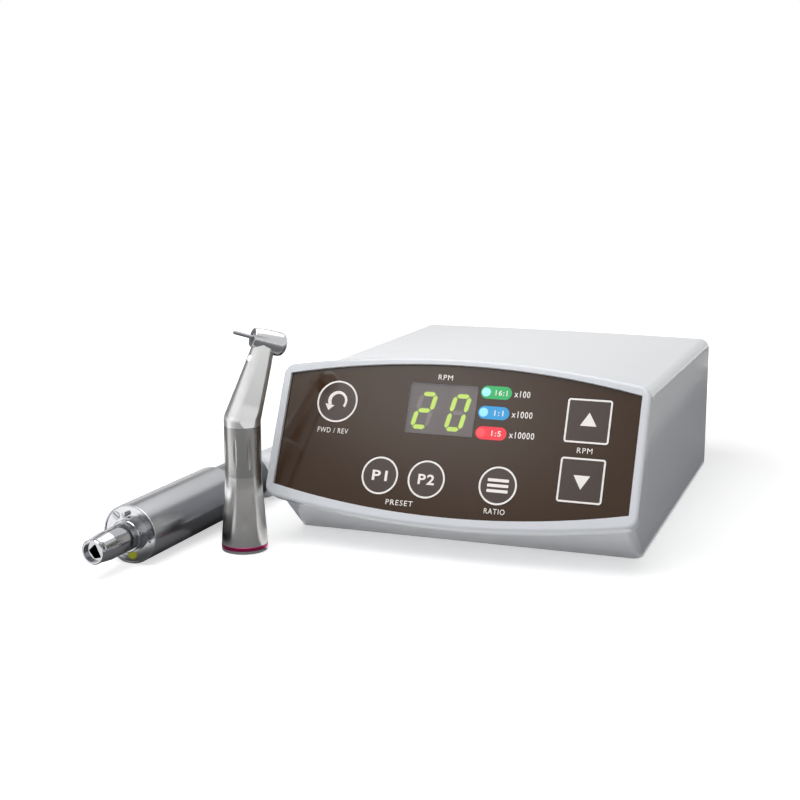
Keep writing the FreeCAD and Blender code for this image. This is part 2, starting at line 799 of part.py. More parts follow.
def make_hose_socket():
    """The socket that takes the hose's plug; the plug's spigot fills its bore."""
    socket = rear_socket(HOSE_SOCKET_X, HOSE_SOCKET_Z, HOSE_SOCKET_R, HOSE_SOCKET_FLANGE_R, 9.0)
    out = BODY_DEPTH / 2
    bore = rear_rod(spigot_radius() + PAD_GAP, HOSE_SOCKET_X, HOSE_SOCKET_Z, out - 6, out + 5)
    return socket.cut(bore)


def spigot_radius():
    return HOSE_SOCKET_R - 2


def make_pedal_socket():
    """The foot pedal's jack: a plain bore, open to the rear."""
    depth = PEDAL_BORE_LENGTH
    socket = rear_socket(PEDAL_SOCKET_X, PEDAL_SOCKET_Z, PEDAL_BARREL_R, PEDAL_FLANGE_R, depth)
    out = BODY_DEPTH / 2 + SOCKET_FLANGE
    bore = rear_rod(PEDAL_BORE_R, PEDAL_SOCKET_X, PEDAL_SOCKET_Z, out - PEDAL_BORE_LENGTH, out + 1)
    return socket.cut(bore)


def make_power_inlet():
    """The round low-voltage inlet with its centre pin."""
    socket = rear_socket(INLET_X, INLET_Z, INLET_BARREL_R, INLET_FLANGE_R, INLET_DEPTH)
    out = BODY_DEPTH / 2 + SOCKET_FLANGE
    bore = rear_rod(INLET_BORE_R, INLET_X, INLET_Z, out - INLET_DEPTH, out + 1)
    pin = rear_rod(INLET_PIN_R, INLET_X, INLET_Z, out - INLET_DEPTH - 1, out - 2)
    return socket.cut(bore).fuse(pin)


def rocker_opening(grow):
    out = BODY_DEPTH / 2
    return upright_block(ROCKER_WIDTH / 2 + grow, ROCKER_HEIGHT / 2 + grow, out - 20, out + 10)


def make_switch_frame():
    """The switch's frame and well, snapped into the rear wall, with pivot ears."""
    out = BODY_DEPTH / 2
    w = ROCKER_WIDTH / 2 + ROCKER_GAP
    h = ROCKER_HEIGHT / 2 + ROCKER_GAP
    side = FRAME_BORDER / 2
    well = upright_block(w + side, h + side, out - ROCKER_WELL, out)
    border = upright_block(w + FRAME_BORDER, h + FRAME_BORDER, out, out + FRAME_PROUD)
    hollow = upright_block(w, h, out - ROCKER_WELL + FRAME_PROUD, out + 5)
    reach = rocker_pin_length() + 2 * RUNNING_GAP
    pivot = rocker_pin(ROCKER_PIN_R + RUNNING_GAP, reach)
    return well.fuse(border).cut(hollow).cut(pivot)


def upright_block(half_width, half_height, y0, y1):
    """A block on the rocker's centre line."""
    left, right = ROCKER_X - half_width, ROCKER_X + half_width
    return box(left, right, y0, y1, ROCKER_Z - half_height, ROCKER_Z + half_height)


def rocker_pin_length():
    return ROCKER_WIDTH + 2 * ROCKER_GAP + FRAME_BORDER - 1.0


def rocker_pin(radius, length):
    at = vec(ROCKER_X - length / 2, rocker_pivot_y(), ROCKER_Z)
    return Part.makeCylinder(radius, length, at, X_AXIS)


def rocker_pivot_y():
    return BODY_DEPTH / 2 - 3.0


def make_power_rocker():
    """A shallow V rocker that stands tilted to off and swings over to on."""
    y = rocker_pivot_y()
    half = ROCKER_HEIGHT / 2 - 0.6
    half_w = ROCKER_WIDTH / 2
    tilt = math.tan(math.radians(ROCKER_TILT / 2))
    face = BODY_DEPTH / 2 + 0.8
    outline = [
        vec(ROCKER_X - half_w, face + half * tilt, ROCKER_Z + half),
        vec(ROCKER_X - half_w, face, ROCKER_Z),
        vec(ROCKER_X - half_w, face + half * tilt, ROCKER_Z - half),
        vec(ROCKER_X - half_w, y - 0.5, ROCKER_Z - half + 0.8),
        vec(ROCKER_X - half_w, y - 2.5, ROCKER_Z),
        vec(ROCKER_X - half_w, y - 0.5, ROCKER_Z + half - 0.8),
    ]
    block = Part.Face(Part.makePolygon(outline + outline[:1])).extrude(vec(ROCKER_WIDTH, 0, 0))
    rocker = block.fuse(rocker_pin(ROCKER_PIN_R, rocker_pin_length()))
    rocker.rotate(vec(ROCKER_X, y, ROCKER_Z), X_AXIS, -ROCKER_TILT / 2)
    return rocker


# Motor


def make_motor_sleeve():
    """The long outer sleeve, with a soft shoulder at the hose end."""
    r, end = MOTOR_R, SLEEVE_LENGTH
    inner = r - SLEEVE_WALL
    body = rod(r, 0, end)
    rear = [e for e in body.Edges if e.BoundBox.ZMin > end - 0.01]
    front = [e for e in body.Edges if e.BoundBox.ZMax < 0.01]
    limit = min(SHOULDER_RADIUS, r - REAR_R + SLEEVE_WALL)
    body = body.makeFillet(limit, rear).makeFillet(0.25, front)
    seat = rod(plate_radius() + PLATE_GAP, -1, PLATE_INSET + PLATE_THICK)
    bore = rod(inner, 0, end - REAR_SPIGOT)
    tail = rod(rear_spigot_radius() + CONNECTOR_GAP, 0, end + 1)
    return put(body.cut(join([seat, bore, tail])), MOTOR_FRAME)


def plate_radius():
    return MOTOR_R - 0.7


def rear_spigot_radius():
    return REAR_R - 1.2


def bearing_seats():
    """Where the two motor bearings start."""
    return (PLATE_INSET + PLATE_THICK + 0.5, SLEEVE_LENGTH - REAR_SPIGOT - BEARING_WIDTH)


def make_front_plate():
    """The polished flange: boss for the nose, screw seats, contacts and the bearing's housing."""
    face = PLATE_INSET
    back = face + PLATE_THICK
    plate = rod(plate_radius(), face, back)
    boss = rod(BOSS_R, face - BOSS_HEIGHT, face)
    seat = bearing_seats()[0]
    housing = rod(BEARING_R + BEARING_HOUSING_WALL, back, seat + BEARING_WIDTH)
    plate = join([plate, boss, housing])
    cuts = [
        rod(nose_root_radius() + RUNNING_GAP, -5, back + 0.2),
        rod(BEARING_R + RUNNING_GAP, seat, seat + BEARING_WIDTH + 1),
        rod(nose_root_radius() - 1, 0, seat + 1),
    ]
    for angle in PLATE_SCREW_ANGLES:
        x, y = polar(PLATE_SCREW_CIRCLE, angle)
        cuts.append(rod(PLATE_SCREW_R + 0.15, face - 1, face + 1.2, x, y))
        cuts.append(rod(PLATE_SCREW_SHANK_R + RUNNING_GAP, 0, back + 1, x, y))
    for angle in CONTACT_ANGLES:
        x, y = polar(CONTACT_CIRCLE, angle)
        cuts.append(rod(CONTACT_R, face - 1, face + CONTACT_DEPTH, x, y))
    x, y = polar(PIN_CIRCLE, PIN_ANGLE)
    cuts.append(rod(PIN_R + RUNNING_GAP, face - 3, back - 1, x, y))
    x, y = polar(MOTOR_LAMP_CIRCLE, MOTOR_LAMP_ANGLE)
    cuts.append(rod(MOTOR_LAMP_R + RUNNING_GAP, face - 3, back + 1, x, y))
    return put(plate.cut(join(cuts)), MOTOR_FRAME)


def make_plate_screws():
    face = PLATE_INSET
    screws = []
    for angle in PLATE_SCREW_ANGLES:
        x, y = polar(PLATE_SCREW_CIRCLE, angle)
        head = rod(PLATE_SCREW_R, face - 0.1, face + 1.2, x, y)
        slot = box(x - 2, x + 2, y - 0.22, y + 0.22, face - 1, face + 0.4)
        slot.rotate(vec(x, y, 0), Z_AXIS, 35)
        shank = rod(PLATE_SCREW_SHANK_R, face + 1.1, face + PLATE_THICK, x, y)
        screws.append(head.cut(slot).fuse(shank))
    return put(Part.makeCompound(screws), MOTOR_FRAME)


def make_locating_pin():
    x, y = polar(PIN_CIRCLE, PIN_ANGLE)
    low = PLATE_INSET - PIN_PROUD
    pin = rod(PIN_R, low, PLATE_INSET + PLATE_THICK - 1.2, x, y)
    tip = [e for e in pin.Edges if e.BoundBox.ZMax < low + 0.01]
    return put(pin.makeChamfer(0.25, tip), MOTOR_FRAME)


def make_motor_lamp():
    """The lamp's domed lens in the flange."""
    x, y = polar(MOTOR_LAMP_CIRCLE, MOTOR_LAMP_ANGLE)
    low = PLATE_INSET - 0.5
    lens = rod(MOTOR_LAMP_R, low, PLATE_INSET + PLATE_THICK, x, y)
    front = [e for e in lens.Edges if e.BoundBox.ZMax < low + 0.01]
    return put(lens.makeFillet(0.45, front), MOTOR_FRAME)


def nose_root_radius():
    return NOSE_R - 0.6


def drive_hole(n0, n1):
    """The rounded four-cornered opening that the handpiece's shaft enters."""
    corners = [vec(x, y, n0) for x, y in DRIVE_CORNERS]
    hole = Part.Face(Part.makePolygon(corners + corners[:1])).extrude(vec(0, 0, n1 - n0))
    upright = [e for e in hole.Edges if e.BoundBox.ZLength > (n1 - n0) / 2]
    return hole.makeFillet(DRIVE_ROUND, upright)


def make_coupling_nose():
    """The coupling nose: a stepped tube whose tip carries the drive opening."""
    base = PLATE_INSET - BOSS_HEIGHT
    tip = -NOSE_LENGTH
    lip = tip + TIP_LIP
    groove_r = NOSE_R - GROOVE_DEPTH
    profile = [
        (0, PLATE_INSET + PLATE_THICK),
        (nose_root_radius(), PLATE_INSET + PLATE_THICK),
        (nose_root_radius(), base),
        (NOSE_FLANGE_R, base),
        (NOSE_FLANGE_R, -NOSE_FLANGE_END + 0.3),
        (NOSE_FLANGE_R - 0.3, -NOSE_FLANGE_END),
        (NOSE_R, -NOSE_FLANGE_END),
        (NOSE_R, -GROOVE_START),
        (groove_r, -GROOVE_START),
        (groove_r, -GROOVE_END),
        (NOSE_R, -GROOVE_END),
        (NOSE_R, -NOSE_STRAIGHT_END),
        (NOSE_TIP_R, lip + 0.7),
        (NOSE_TIP_R - 0.35, lip + 0.35),
        (NOSE_TIP_R - 0.35, lip),
        (NOSE_TIP_R, lip - 0.2),
        (NOSE_TIP_R, tip + 0.4),
        (NOSE_TIP_R - 0.4, tip),
        (0, tip),
    ]
    nose = turned(profile)
    recess_end = tip + TIP_RECESS
    bore = rod(NOSE_BORE_R, recess_end + DRIVE_WALL, PLATE_INSET + PLATE_THICK + 1)
    recess = rod(TIP_RECESS_R, tip - 1, recess_end)
    return put(nose.cut(bore).cut(recess).cut(drive_hole(tip, recess_end + DRIVE_WALL + 1)), MOTOR_FRAME)


def make_nose_ring():
    """The sealing ring in the nose's groove."""
    radius = (GROOVE_END - GROOVE_START) / 2 - 0.1
    middle = -(GROOVE_START + GROOVE_END) / 2
    ring = Part.makeTorus(NOSE_R - GROOVE_DEPTH + radius + 0.03, radius, vec(0, 0, middle))
    return put(ring.common(tube(NOSE_R, NOSE_R - 2, middle - 1, middle + 1)), MOTOR_FRAME)


def make_stator_core():
    outer = MOTOR_R - SLEEVE_WALL - RUNNING_GAP
    return put(tube(outer, STATOR_BORE_R, STATOR_START, STATOR_END), MOTOR_FRAME)


def make_stator_winding():
    """The end turns of the winding, at both ends of the core."""
    outer = MOTOR_R - SLEEVE_WALL - 1
    front = tube(outer, STATOR_BORE_R + 0.6, STATOR_START - WINDING_REACH, STATOR_START)
    back = tube(outer, STATOR_BORE_R + 0.6, STATOR_END, STATOR_END + WINDING_REACH)
    return put(Part.makeCompound([front, back]), MOTOR_FRAME)


def make_motor_bearings():
    rings = [tube(BEARING_R, SHAFT_R + RUNNING_GAP, z, z + BEARING_WIDTH) for z in bearing_seats()]
    return put(Part.makeCompound(rings), MOTOR_FRAME)


def make_rear_cap():
    """The hose end of the motor: bearing seat inside, socket for the hose connector behind."""
    start, end = SLEEVE_LENGTH, SLEEVE_LENGTH + REAR_LENGTH
    body = rod(REAR_R, start, end)
    rear = [e for e in body.Edges if e.BoundBox.ZMin > end - 0.01]
    body = body.makeFillet(REAR_EDGE, rear)
    spigot = rod(rear_spigot_radius(), start - REAR_SPIGOT - BEARING_WIDTH, start)
    seat = rod(BEARING_R + RUNNING_GAP, 0, start - REAR_SPIGOT)
    shaft_room = rod(SHAFT_R + 1.5, 0, start - 3)
    socket = rod(CONNECTOR_R + CONNECTOR_GAP, end - CONNECTOR_LENGTH - 0.5, end + 1)
    return put(body.fuse(spigot).cut(join([seat, shaft_room, socket])), MOTOR_FRAME)


def make_motor_shaft():
    """The rotor's shaft, with the forked drive dog inside the nose."""
    dog_start = -NOSE_STRAIGHT_END + 1
    rear = SLEEVE_LENGTH - REAR_SPIGOT + 2
    shaft = rod(SHAFT_R, dog_start + 4, rear)
    dog = rod(SHAFT_R + 0.6, dog_start, dog_start + 5)
    slot = box(-4, 4, -(DOG_WIDTH / 2 + 0.2), DOG_WIDTH / 2 + 0.2, dog_start - 1, dog_start + 3)
    return put(shaft.fuse(dog).cut(slot), MOTOR_FRAME)


def make_rotor_magnet():
    return put(tube(MAGNET_R, SHAFT_R + 0.02, STATOR_START + 1, STATOR_END - 1), MOTOR_FRAME)


# Hose


def motor_point(s, across=0.0, up=0.0):
    """A point on the motor's axis, s behind the flange face."""
    return MOTOR_FRAME.multVec(vec(across, -up, s))


def boot_frame():
    """The boot's own frame: it lies on the table and heads a little inwards."""
    start = SLEEVE_LENGTH + REAR_LENGTH + BOOT_GAP + BOOT_COLLAR / 2
    at = motor_point(start, BOOT_SHIFT)
    at.z = BOOT_R + BOOT_GAP
    return placement(at, Z_AXIS, -MOTOR_YAW - BOOT_YAW).multiply(placement(vec(0, 0, 0), X_AXIS, -90))


def make_hose_boot():
    """The soft sleeve behind the motor: it lies on the table and narrows to the hose."""
    start = SLEEVE_LENGTH + REAR_LENGTH + BOOT_GAP
    corner = BOOT_R - BOOT_FRONT_RADIUS
    bevel = BOOT_FRONT_RADIUS * math.sqrt(0.5)
    shoulder = [
        vec(corner, 0, 0),
        vec(corner + bevel, 0, BOOT_FRONT_RADIUS - bevel),
        vec(BOOT_R, 0, BOOT_FRONT_RADIUS),
    ]
    taper = Part.BSplineCurve()
    drop = BOOT_R - BOOT_END_R
    middle = (BOOT_STRAIGHT + BOOT_LENGTH) / 2
    taper_points = [
        vec(BOOT_R, 0, BOOT_STRAIGHT),
        vec(BOOT_END_R + drop / 2, 0, middle),
        vec(BOOT_END_R, 0, BOOT_LENGTH),
    ]
    taper.interpolate(taper_points, InitialTangent=Z_AXIS, FinalTangent=Z_AXIS)
    edges = [
        Part.LineSegment(vec(0, 0, 0), shoulder[0]).toShape(),
        arc_edge(*shoulder),
        Part.LineSegment(shoulder[2], taper_points[0]).toShape(),
        taper.toShape(),
        Part.LineSegment(taper_points[2], vec(0, 0, BOOT_LENGTH)).toShape(),
        Part.LineSegment(vec(0, 0, BOOT_LENGTH), vec(0, 0, 0)).toShape(),
    ]
    body = Part.Face(Part.Wire(edges)).revolve(vec(0, 0, 0), Z_AXIS, FULL_TURN)
    collar = put(rod(BOOT_COLLAR_R, start, start + BOOT_COLLAR), MOTOR_FRAME)
    socket = put(rod(CONNECTOR_R, start - 1, start + CONNECTOR_REACH), MOTOR_FRAME)
    return put(body, boot_frame()).fuse(collar).cut(socket)


def make_hose_connector():
    """The plug inside the boot that carries the motor's contacts."""
    rear = SLEEVE_LENGTH + REAR_LENGTH
    plug = rod(CONNECTOR_R - 0.02, rear - CONNECTOR_LENGTH, rear + BOOT_GAP + CONNECTOR_REACH)
    return put(plug, MOTOR_FRAME)


def hose_side_points():
    """The hose's route beside the console, from the boot to the coil, chosen by hand."""
    frame = boot_frame()
    return [
        frame.multVec(vec(0, 0, BOOT_LENGTH)),
        frame.multVec(vec(0, 0, BOOT_LENGTH + 22)),
        vec(-98.0, 46.0, 6.8),
        vec(-96.2, 80.0, HOSE_Z + 0.3),
        vec(COIL_START_X, 124.0, HOSE_Z),
        vec(COIL_START_X, COIL_Y - 2 * HOSE_R, HOSE_Z),
    ]


def hose_socket_points():
    """The hose's route from its plug down to the top of the coil, chosen by hand."""
    z = HOSE_Z + COIL_PITCH
    return [
        vec(HOSE_SOCKET_X, BODY_DEPTH / 2 + SOCKET_FLANGE + PLUG_LENGTH, HOSE_SOCKET_Z),
        vec(HOSE_SOCKET_X, 128.0, HOSE_SOCKET_Z),
        vec(HOSE_SOCKET_X, 144.0, z),
        vec(HOSE_SOCKET_X, COIL_Y - 2 * HOSE_R, z),
    ]


def route_edges(points):
    """Straight runs joined by tangent arcs, each as large as its two runs allow."""
    edges = []
    radii = []
    start = points[0]
    for before, corner, after in zip(points, points[1:], points[2:]):
        into = (corner - before).normalize()
        out = (after - corner).normalize()
        half_turn = into.getAngle(out) / 2
        leg = 0.45 * min((corner - before).Length, (after - corner).Length)
        radius = leg / math.tan(half_turn)
        radii.append(radius)
        a = corner - into * leg
        b = corner + out * leg
        toward = (out - into).normalize()
        middle = corner + toward * (radius / math.cos(half_turn) - radius)
        edges.append(Part.LineSegment(start, a).toShape())
        edges.append(arc_edge(a, middle, b))
        start = b
    edges.append(Part.LineSegment(start, points[-1]).toShape())
    return edges, radii


def swept_tube(edges, name):
    """A round tube along edges, with its volume printed beside section times length."""
    path = Part.Wire(edges)
    first = edges[0]
    at = first.valueAt(first.FirstParameter)
    along = first.tangentAt(first.FirstParameter)
    section = Part.Wire(Part.Circle(at, along, HOSE_R).toShape())
    solid = path.makePipeShell([section], True, False)
    expected = math.pi * HOSE_R**2 * path.Length
    print(f"{name}: length {path.Length:.1f}, volume {solid.Volume:.0f}, expected {expected:.0f}")
    return solid


def make_hose_run_side():
    edges, radii = route_edges(hose_side_points())
    print("side run radii:", [round(r) for r in radii])
    return swept_tube(edges, "hose_run_side")


def make_hose_run_socket():
    edges, radii = route_edges(hose_socket_points())
    print("socket run radii:", [round(r) for r in radii])
    return swept_tube(edges, "hose_run_socket")


def tangent_arc(start, corner, end):
    """An arc from start to end whose tangents meet at corner, at equal distances."""
    middle = (start + end) * 0.5
    rise = (corner - middle).Length
    half = (end - start).Length / 2
    bend = math.atan2(rise, half)
    return arc_edge(start, middle + (corner - middle) * (math.tan(bend / 2) / math.tan(bend)), end)


def coil_edges():
    """The coil's path: it spirals in on the table, climbs a layer and spirals out again."""
    inward = [COIL_OUTER_R - COIL_STEP * i for i in range(COIL_TURNS_IN)]
    innermost = COIL_OUTER_R - COIL_STEP * COIL_TURNS_IN
    radii = inward + [innermost] + inward[::-1]
    lead = 2 * HOSE_R
    at = vec(COIL_START_X, COIL_Y, HOSE_Z)
    heading = vec(0, 1, 0)
    edges = [Part.LineSegment(at - heading * lead, at).toShape()]
    for radius in radii:
        rise = COIL_PITCH if radius == innermost else 0.0
        end = at + vec(heading.y * 2 * radius, 0, rise)
        reach = heading * ((end - at).Length / 2)
        top = (at + end) * 0.5 + reach
        edges.append(tangent_arc(at, at + reach, top))
        edges.append(tangent_arc(top, end + reach, end))
        at = end
        heading = heading * -1
    edges.append(Part.LineSegment(at, at + heading * lead).toShape())
    return edges


def coil_gap(edges):
    """The least gap from the coil's tube to itself, measured on points along its path."""
    step = HOSE_R / 2
    points = []
    for edge in edges:
        points += edge.discretize(max(2, int(edge.Length / step)))[:-1]
    skip = int(math.pi * HOSE_R * 2 / step) + 2
    least = min((p - q).Length for i, p in enumerate(points) for q in points[i + skip :])
    return least - 2 * HOSE_R


def make_hose_coil():
    edges = coil_edges()
    print(f"coil: least gap to itself {coil_gap(edges):.2f}")
    return swept_tube(edges, "hose_coil")


def make_hose_plug():
    """The plug at the console: knurled grip and a tapering strain relief."""
    flange = BODY_DEPTH / 2 + SOCKET_FLANGE
    profile = [
        (0, -4.5),
        (spigot_radius(), -4.5),
        (spigot_radius(), 0),
        (PLUG_R, 0),
        (PLUG_R, 13),
        (PLUG_R - 1.5, 14.5),
        (PLUG_R - 1.8, 16),
        (PLUG_END_R, PLUG_LENGTH),
        (0, PLUG_LENGTH),
    ]
    return put(turned(profile), placement(vec(HOSE_SOCKET_X, flange, HOSE_SOCKET_Z), X_AXIS, -90))


# Handpiece


def handle_profile():
    """Radius and height of the handle's flared lower part, bottom to top."""
    start = END_RING_HEIGHT + COLOUR_RING_HEIGHT
    shares = [(1.0, 0.0), *FLARE_SHAPE, (0.0, 1.0)]
    wide, high = BASE_R - HANDLE_TOP_R, FLARE_Z - start
    return [(HANDLE_TOP_R + wide * out, start + high * up) for out, up in shares]


def cartridge_radius():
    return HANDLE_TOP_R - HANDLE_WALL - CARTRIDGE_FIT


def flute_spindle():
    """A long slim spindle that cuts one flute, pointed at both ends."""
    ends = [vec(0, 0, -FLUTE_REACH), vec(0, 0, FLUTE_REACH)]
    side = arc_edge(ends[0], vec(FLUTE_R, 0, 0), ends[1])
    core = Part.LineSegment(ends[1], ends[0]).toShape()
    return Part.Face(Part.Wire([side, core])).revolve(vec(0, 0, 0), Z_AXIS, FULL_TURN)


def make_handle_sleeve():
    """The handle: a waisted flare below, a straight grip with flutes above."""
    points = [vec(r, 0, z) for r, z in handle_profile()]
    flare = Part.BSplineCurve()
    flare.interpolate(points)
    bottom, top = points[0], points[-1]
    upper = vec(HANDLE_TOP_R, 0, HANDLE_TOP_Z)
    edges = [
        Part.LineSegment(vec(0, 0, bottom.z), bottom).toShape(),
        flare.toShape(),
        Part.LineSegment(top, upper).toShape(),
        Part.LineSegment(upper, vec(0, 0, upper.z)).toShape(),
        Part.LineSegment(vec(0, 0, upper.z), vec(0, 0, bottom.z)).toShape(),
    ]
    handle = Part.Face(Part.Wire(edges)).revolve(vec(0, 0, 0), Z_AXIS, FULL_TURN)
    flutes = []
    reach = HANDLE_TOP_R + FLUTE_R - FLUTE_DEPTH
    for i in range(FLUTE_COUNT):
        x, y = polar(reach, -FLUTE_OFFSET - FULL_TURN / FLUTE_COUNT * i)
        flutes.append(put(flute_spindle(), placement(vec(x, y, FLUTE_MIDDLE_Z))))
    bore = rod(HANDLE_TOP_R - HANDLE_WALL, 0, HANDLE_TOP_Z + 1)
    return put(handle.cut(join(flutes)).cut(bore), HANDPIECE_FRAME)


def make_end_ring():
    ring = rod(BASE_R, 0, END_RING_HEIGHT)
    low = [e for e in ring.Edges if e.BoundBox.ZMax < 0.01]
    ring = ring.makeFillet(0.5, low)
    return put(ring.cut(rod(HANDLE_TOP_R - HANDLE_WALL, -1, END_RING_HEIGHT + 1)), HANDPIECE_FRAME)


def make_colour_ring():
    low = END_RING_HEIGHT
    ring = rod(COLOUR_RING_R, low, low + COLOUR_RING_HEIGHT)
    rims = [e for e in ring.Edges if e.BoundBox.ZLength < 0.01]
    ring = ring.makeFillet(0.2, rims)
    return put(ring.cut(rod(HANDLE_TOP_R - HANDLE_WALL, 0, low + 5)), HANDPIECE_FRAME)


def make_gear_cartridge():
    """The inner sleeve: socket bore for the motor's nose below, shaft bearings above."""
    outer = cartridge_radius()
    wide = NOSE_R + SOCKET_GAP
    narrow = NOSE_TIP_R + TIP_BORE_GAP
    wide_end = SOCKET_START + SOCKET_BORE_LENGTH
    narrow_end = NOSE_LENGTH + 0.4
    sleeve = rod(outer, SOCKET_START, CARTRIDGE_TOP)
    cuts = [
        rod(wide, 0, wide_end),
        rod(narrow, 0, narrow_end),
        rod(narrow, narrow_end + CARTRIDGE_WEB, CARTRIDGE_TOP - CARTRIDGE_WEB),
        rod(INPUT_SHAFT_R + RUNNING_GAP, 0, CARTRIDGE_TOP + 1),
    ]
    return put(sleeve.cut(join(cuts)), HANDPIECE_FRAME)


def above(z):
    """All the space over a height in the handpiece's frame."""
    return rod(3 * HANDLE_TOP_R, z, BEND_Z + 2 * NECK_LENGTH)


def neck_body(inset):
    """The neck's outer form, or its hollow when inset by the wall."""
    radius = HANDLE_TOP_R - inset
    low = HANDLE_TOP_Z if inset == 0 else HANDLE_TOP_Z - 10
    stub = rod(radius, low, BEND_Z)
    bend = Part.makeSphere(radius, vec(0, 0, BEND_Z))
    leaning = Part.makeCone(radius, NECK_TOP_R - inset, NECK_LENGTH + inset * 2)
    leaning = put(leaning, placement(vec(0, 0, BEND_Z), Y_AXIS, NECK_LEAN))
    return join([stub, bend, leaning]).cut(neck_flats(inset)).common(above(low))


def neck_flats(inset):
    """The space outside the neck's two flat sides, which fade out above the handle's seam."""
    slope = (NECK_FLAT_HIGH - NECK_FLAT_LOW) / NECK_LENGTH
    fade = vec(0, NECK_FLAT_LOW + slope * NECK_FLAT_FADE - inset, NECK_FLAT_FADE)
    middle = vec(0, NECK_FLAT_LOW + 0.25 - inset, NECK_FLAT_FADE / 2 - 1)
    seam = vec(0, HANDLE_TOP_R + 0.6 - inset, HANDLE_TOP_Z - BEND_Z - 1)
    top = vec(0, NECK_FLAT_LOW + slope * (NECK_LENGTH + 8) - inset, NECK_LENGTH + 8)
    far = 3 * HANDLE_TOP_R
    blend = Part.BSplineCurve()
    start, end = vec(0, -1, 1), vec(0, slope, 1)
    blend.interpolate(Points=[seam, middle, fade], InitialTangent=start, FinalTangent=end)
    outline = [
        blend.toShape(),
        Part.LineSegment(fade, top).toShape(),
        Part.LineSegment(top, vec(0, far, top.z)).toShape(),
        Part.LineSegment(vec(0, far, top.z), vec(0, far, seam.z)).toShape(),
        Part.LineSegment(vec(0, far, seam.z), seam).toShape(),
    ]
    side = Part.Face(Part.Wire(outline)).extrude(vec(6 * HANDLE_TOP_R, 0, 0))
    side.translate(vec(-3 * HANDLE_TOP_R, 0, 0))
    other = side.mirror(vec(0, 0, 0), Y_AXIS)
    return put(Part.makeCompound([side, other]), placement(vec(0, 0, BEND_Z), Y_AXIS, NECK_LEAN))


def softened_neck():
    """The neck's outer form with the long edges of its flats rounded."""
    neck = neck_body(0)
    tall = [e for e in neck.Edges if e.BoundBox.ZLength > NECK_LENGTH / 2]
    long_edges = [e for e in tall if e.BoundBox.YLength > 1]
    return neck.makeFillet(NECK_FLAT_SOFTENING, long_edges)


def make_neck_sleeve():
    """The leaning neck, with a spigot in the handle and two bearing webs."""
    spigot = rod(cartridge_radius(), HANDLE_TOP_Z - 3, HANDLE_TOP_Z + 1)
    lean = placement(vec(0, 0, BEND_Z), Y_AXIS, NECK_LEAN)
    webs = []
    for at in (5.0, 24.0):
        wall_r = HANDLE_TOP_R + (NECK_TOP_R - HANDLE_TOP_R) * at / NECK_LENGTH - NECK_WALL / 2
        webs.append(rod(wall_r, at, at + 1.6))
    webs = put(Part.makeCompound(webs), lean).common(neck_body(NECK_WALL / 2))
    bore = rod(cartridge_radius() - NECK_WALL, HANDLE_TOP_Z - 4, BEND_Z)
    neck = softened_neck().fuse(spigot)
    hollow = neck_body(NECK_WALL).common(above(HANDLE_TOP_Z + 1)).fuse(bore)
    neck = neck.cut(hollow).multiFuse(webs.Solids)
    shaft_hole = put(rod(NECK_SHAFT_R + RUNNING_GAP, -20, NECK_LENGTH + 5), lean)
    head = put(put(head_form(0.02), placement(vec(0, 0, HEAD_AT), Y_AXIS, -90)), lean)
    head_room = put(rod(crown_room(), NECK_LENGTH - 4.4, NECK_LENGTH + 5), lean)
    window = put(light_form(0.03), lean)
    neck = neck.cut(join([shaft_hole, head_room])).cut(head).cut(window)
    return put(neck, HANDPIECE_FRAME)


def crown_room():
    """Radius of the clear space round the crown wheel."""
    return CROWN_PITCH_R + CROWN_FACE / 2 + 0.2


def head_form(grow):
    """The head's outer form: a barrel that widens from its nose, with a rounded rear cap."""
    front, back = HEAD_FRONT + grow, -HEAD_BACK - grow
    nose = vec(HEAD_FRONT_R + grow, 0, front)
    middle = vec(HEAD_MIDDLE_R + grow, 0, HEAD_MIDDLE)
    rear = vec(HEAD_BACK_R + grow, 0, back)
    edges = [
        arc_edge(nose, middle, rear),
        Part.LineSegment(rear, vec(0, 0, back)).toShape(),
        Part.LineSegment(vec(0, 0, back), vec(0, 0, front)).toShape(),
        Part.LineSegment(vec(0, 0, front), nose).toShape(),
    ]
    barrel = Part.Face(Part.Wire(edges)).revolve(vec(0, 0, 0), Z_AXIS, FULL_TURN)
    rear_rim = [e for e in barrel.Edges if e.BoundBox.ZMax < back + 0.01]
    nose_rim = [e for e in barrel.Edges if e.BoundBox.ZMin > front - 0.01]
    return barrel.makeFillet(HEAD_CAP_RADIUS + grow, rear_rim).makeFillet(0.3, nose_rim)


def make_head_shell():
    """The head: bearings at both ends, open below for the crown wheel, button hole behind."""
    front, back = HEAD_FRONT, -HEAD_BACK
    seat = SPINDLE_BEARING_R + RUNNING_GAP / 2
    bore = rod(seat, back + 1.2, front - 0.4)
    button_hole = rod(BUTTON_R + BUTTON_GAP, back - 1, back + 2.2)
    mouth = rod(CHUCK_NOSE_R + 0.15, 0, front + 1)
    to_head = placement(vec(0, 0, HEAD_AT), Y_AXIS, -90).inverse()
    crown_space = put(rod(crown_room(), NECK_LENGTH - 8, HEAD_AT), to_head)
    shell = head_form(0).cut(join([bore, button_hole, mouth, crown_space]))
    return put(shell, HEAD_FRAME)


def light_form(grow):
    """The oval lamp window in the neck's wall, in the neck's frame, turned from the bur's side."""
    w, h = LIGHT_WIDTH / 2 + grow, (LIGHT_LENGTH - LIGHT_WIDTH) / 2
    radius = HANDLE_TOP_R + (NECK_TOP_R - HANDLE_TOP_R) * LIGHT_AT / NECK_LENGTH
    ends = []
    for z in (LIGHT_AT - h, LIGHT_AT + h):
        ends.append(Part.makeCylinder(w, 1.0 + grow, vec(-radius + 0.92, 0, z), vec(-1, 0, 0)))
    middle = box(-radius - 0.08 - grow, -radius + 0.92, -w, w, LIGHT_AT - h, LIGHT_AT + h)
    return put(join(ends + [middle]), placement(vec(0, 0, 0), Z_AXIS, LIGHT_TURN))


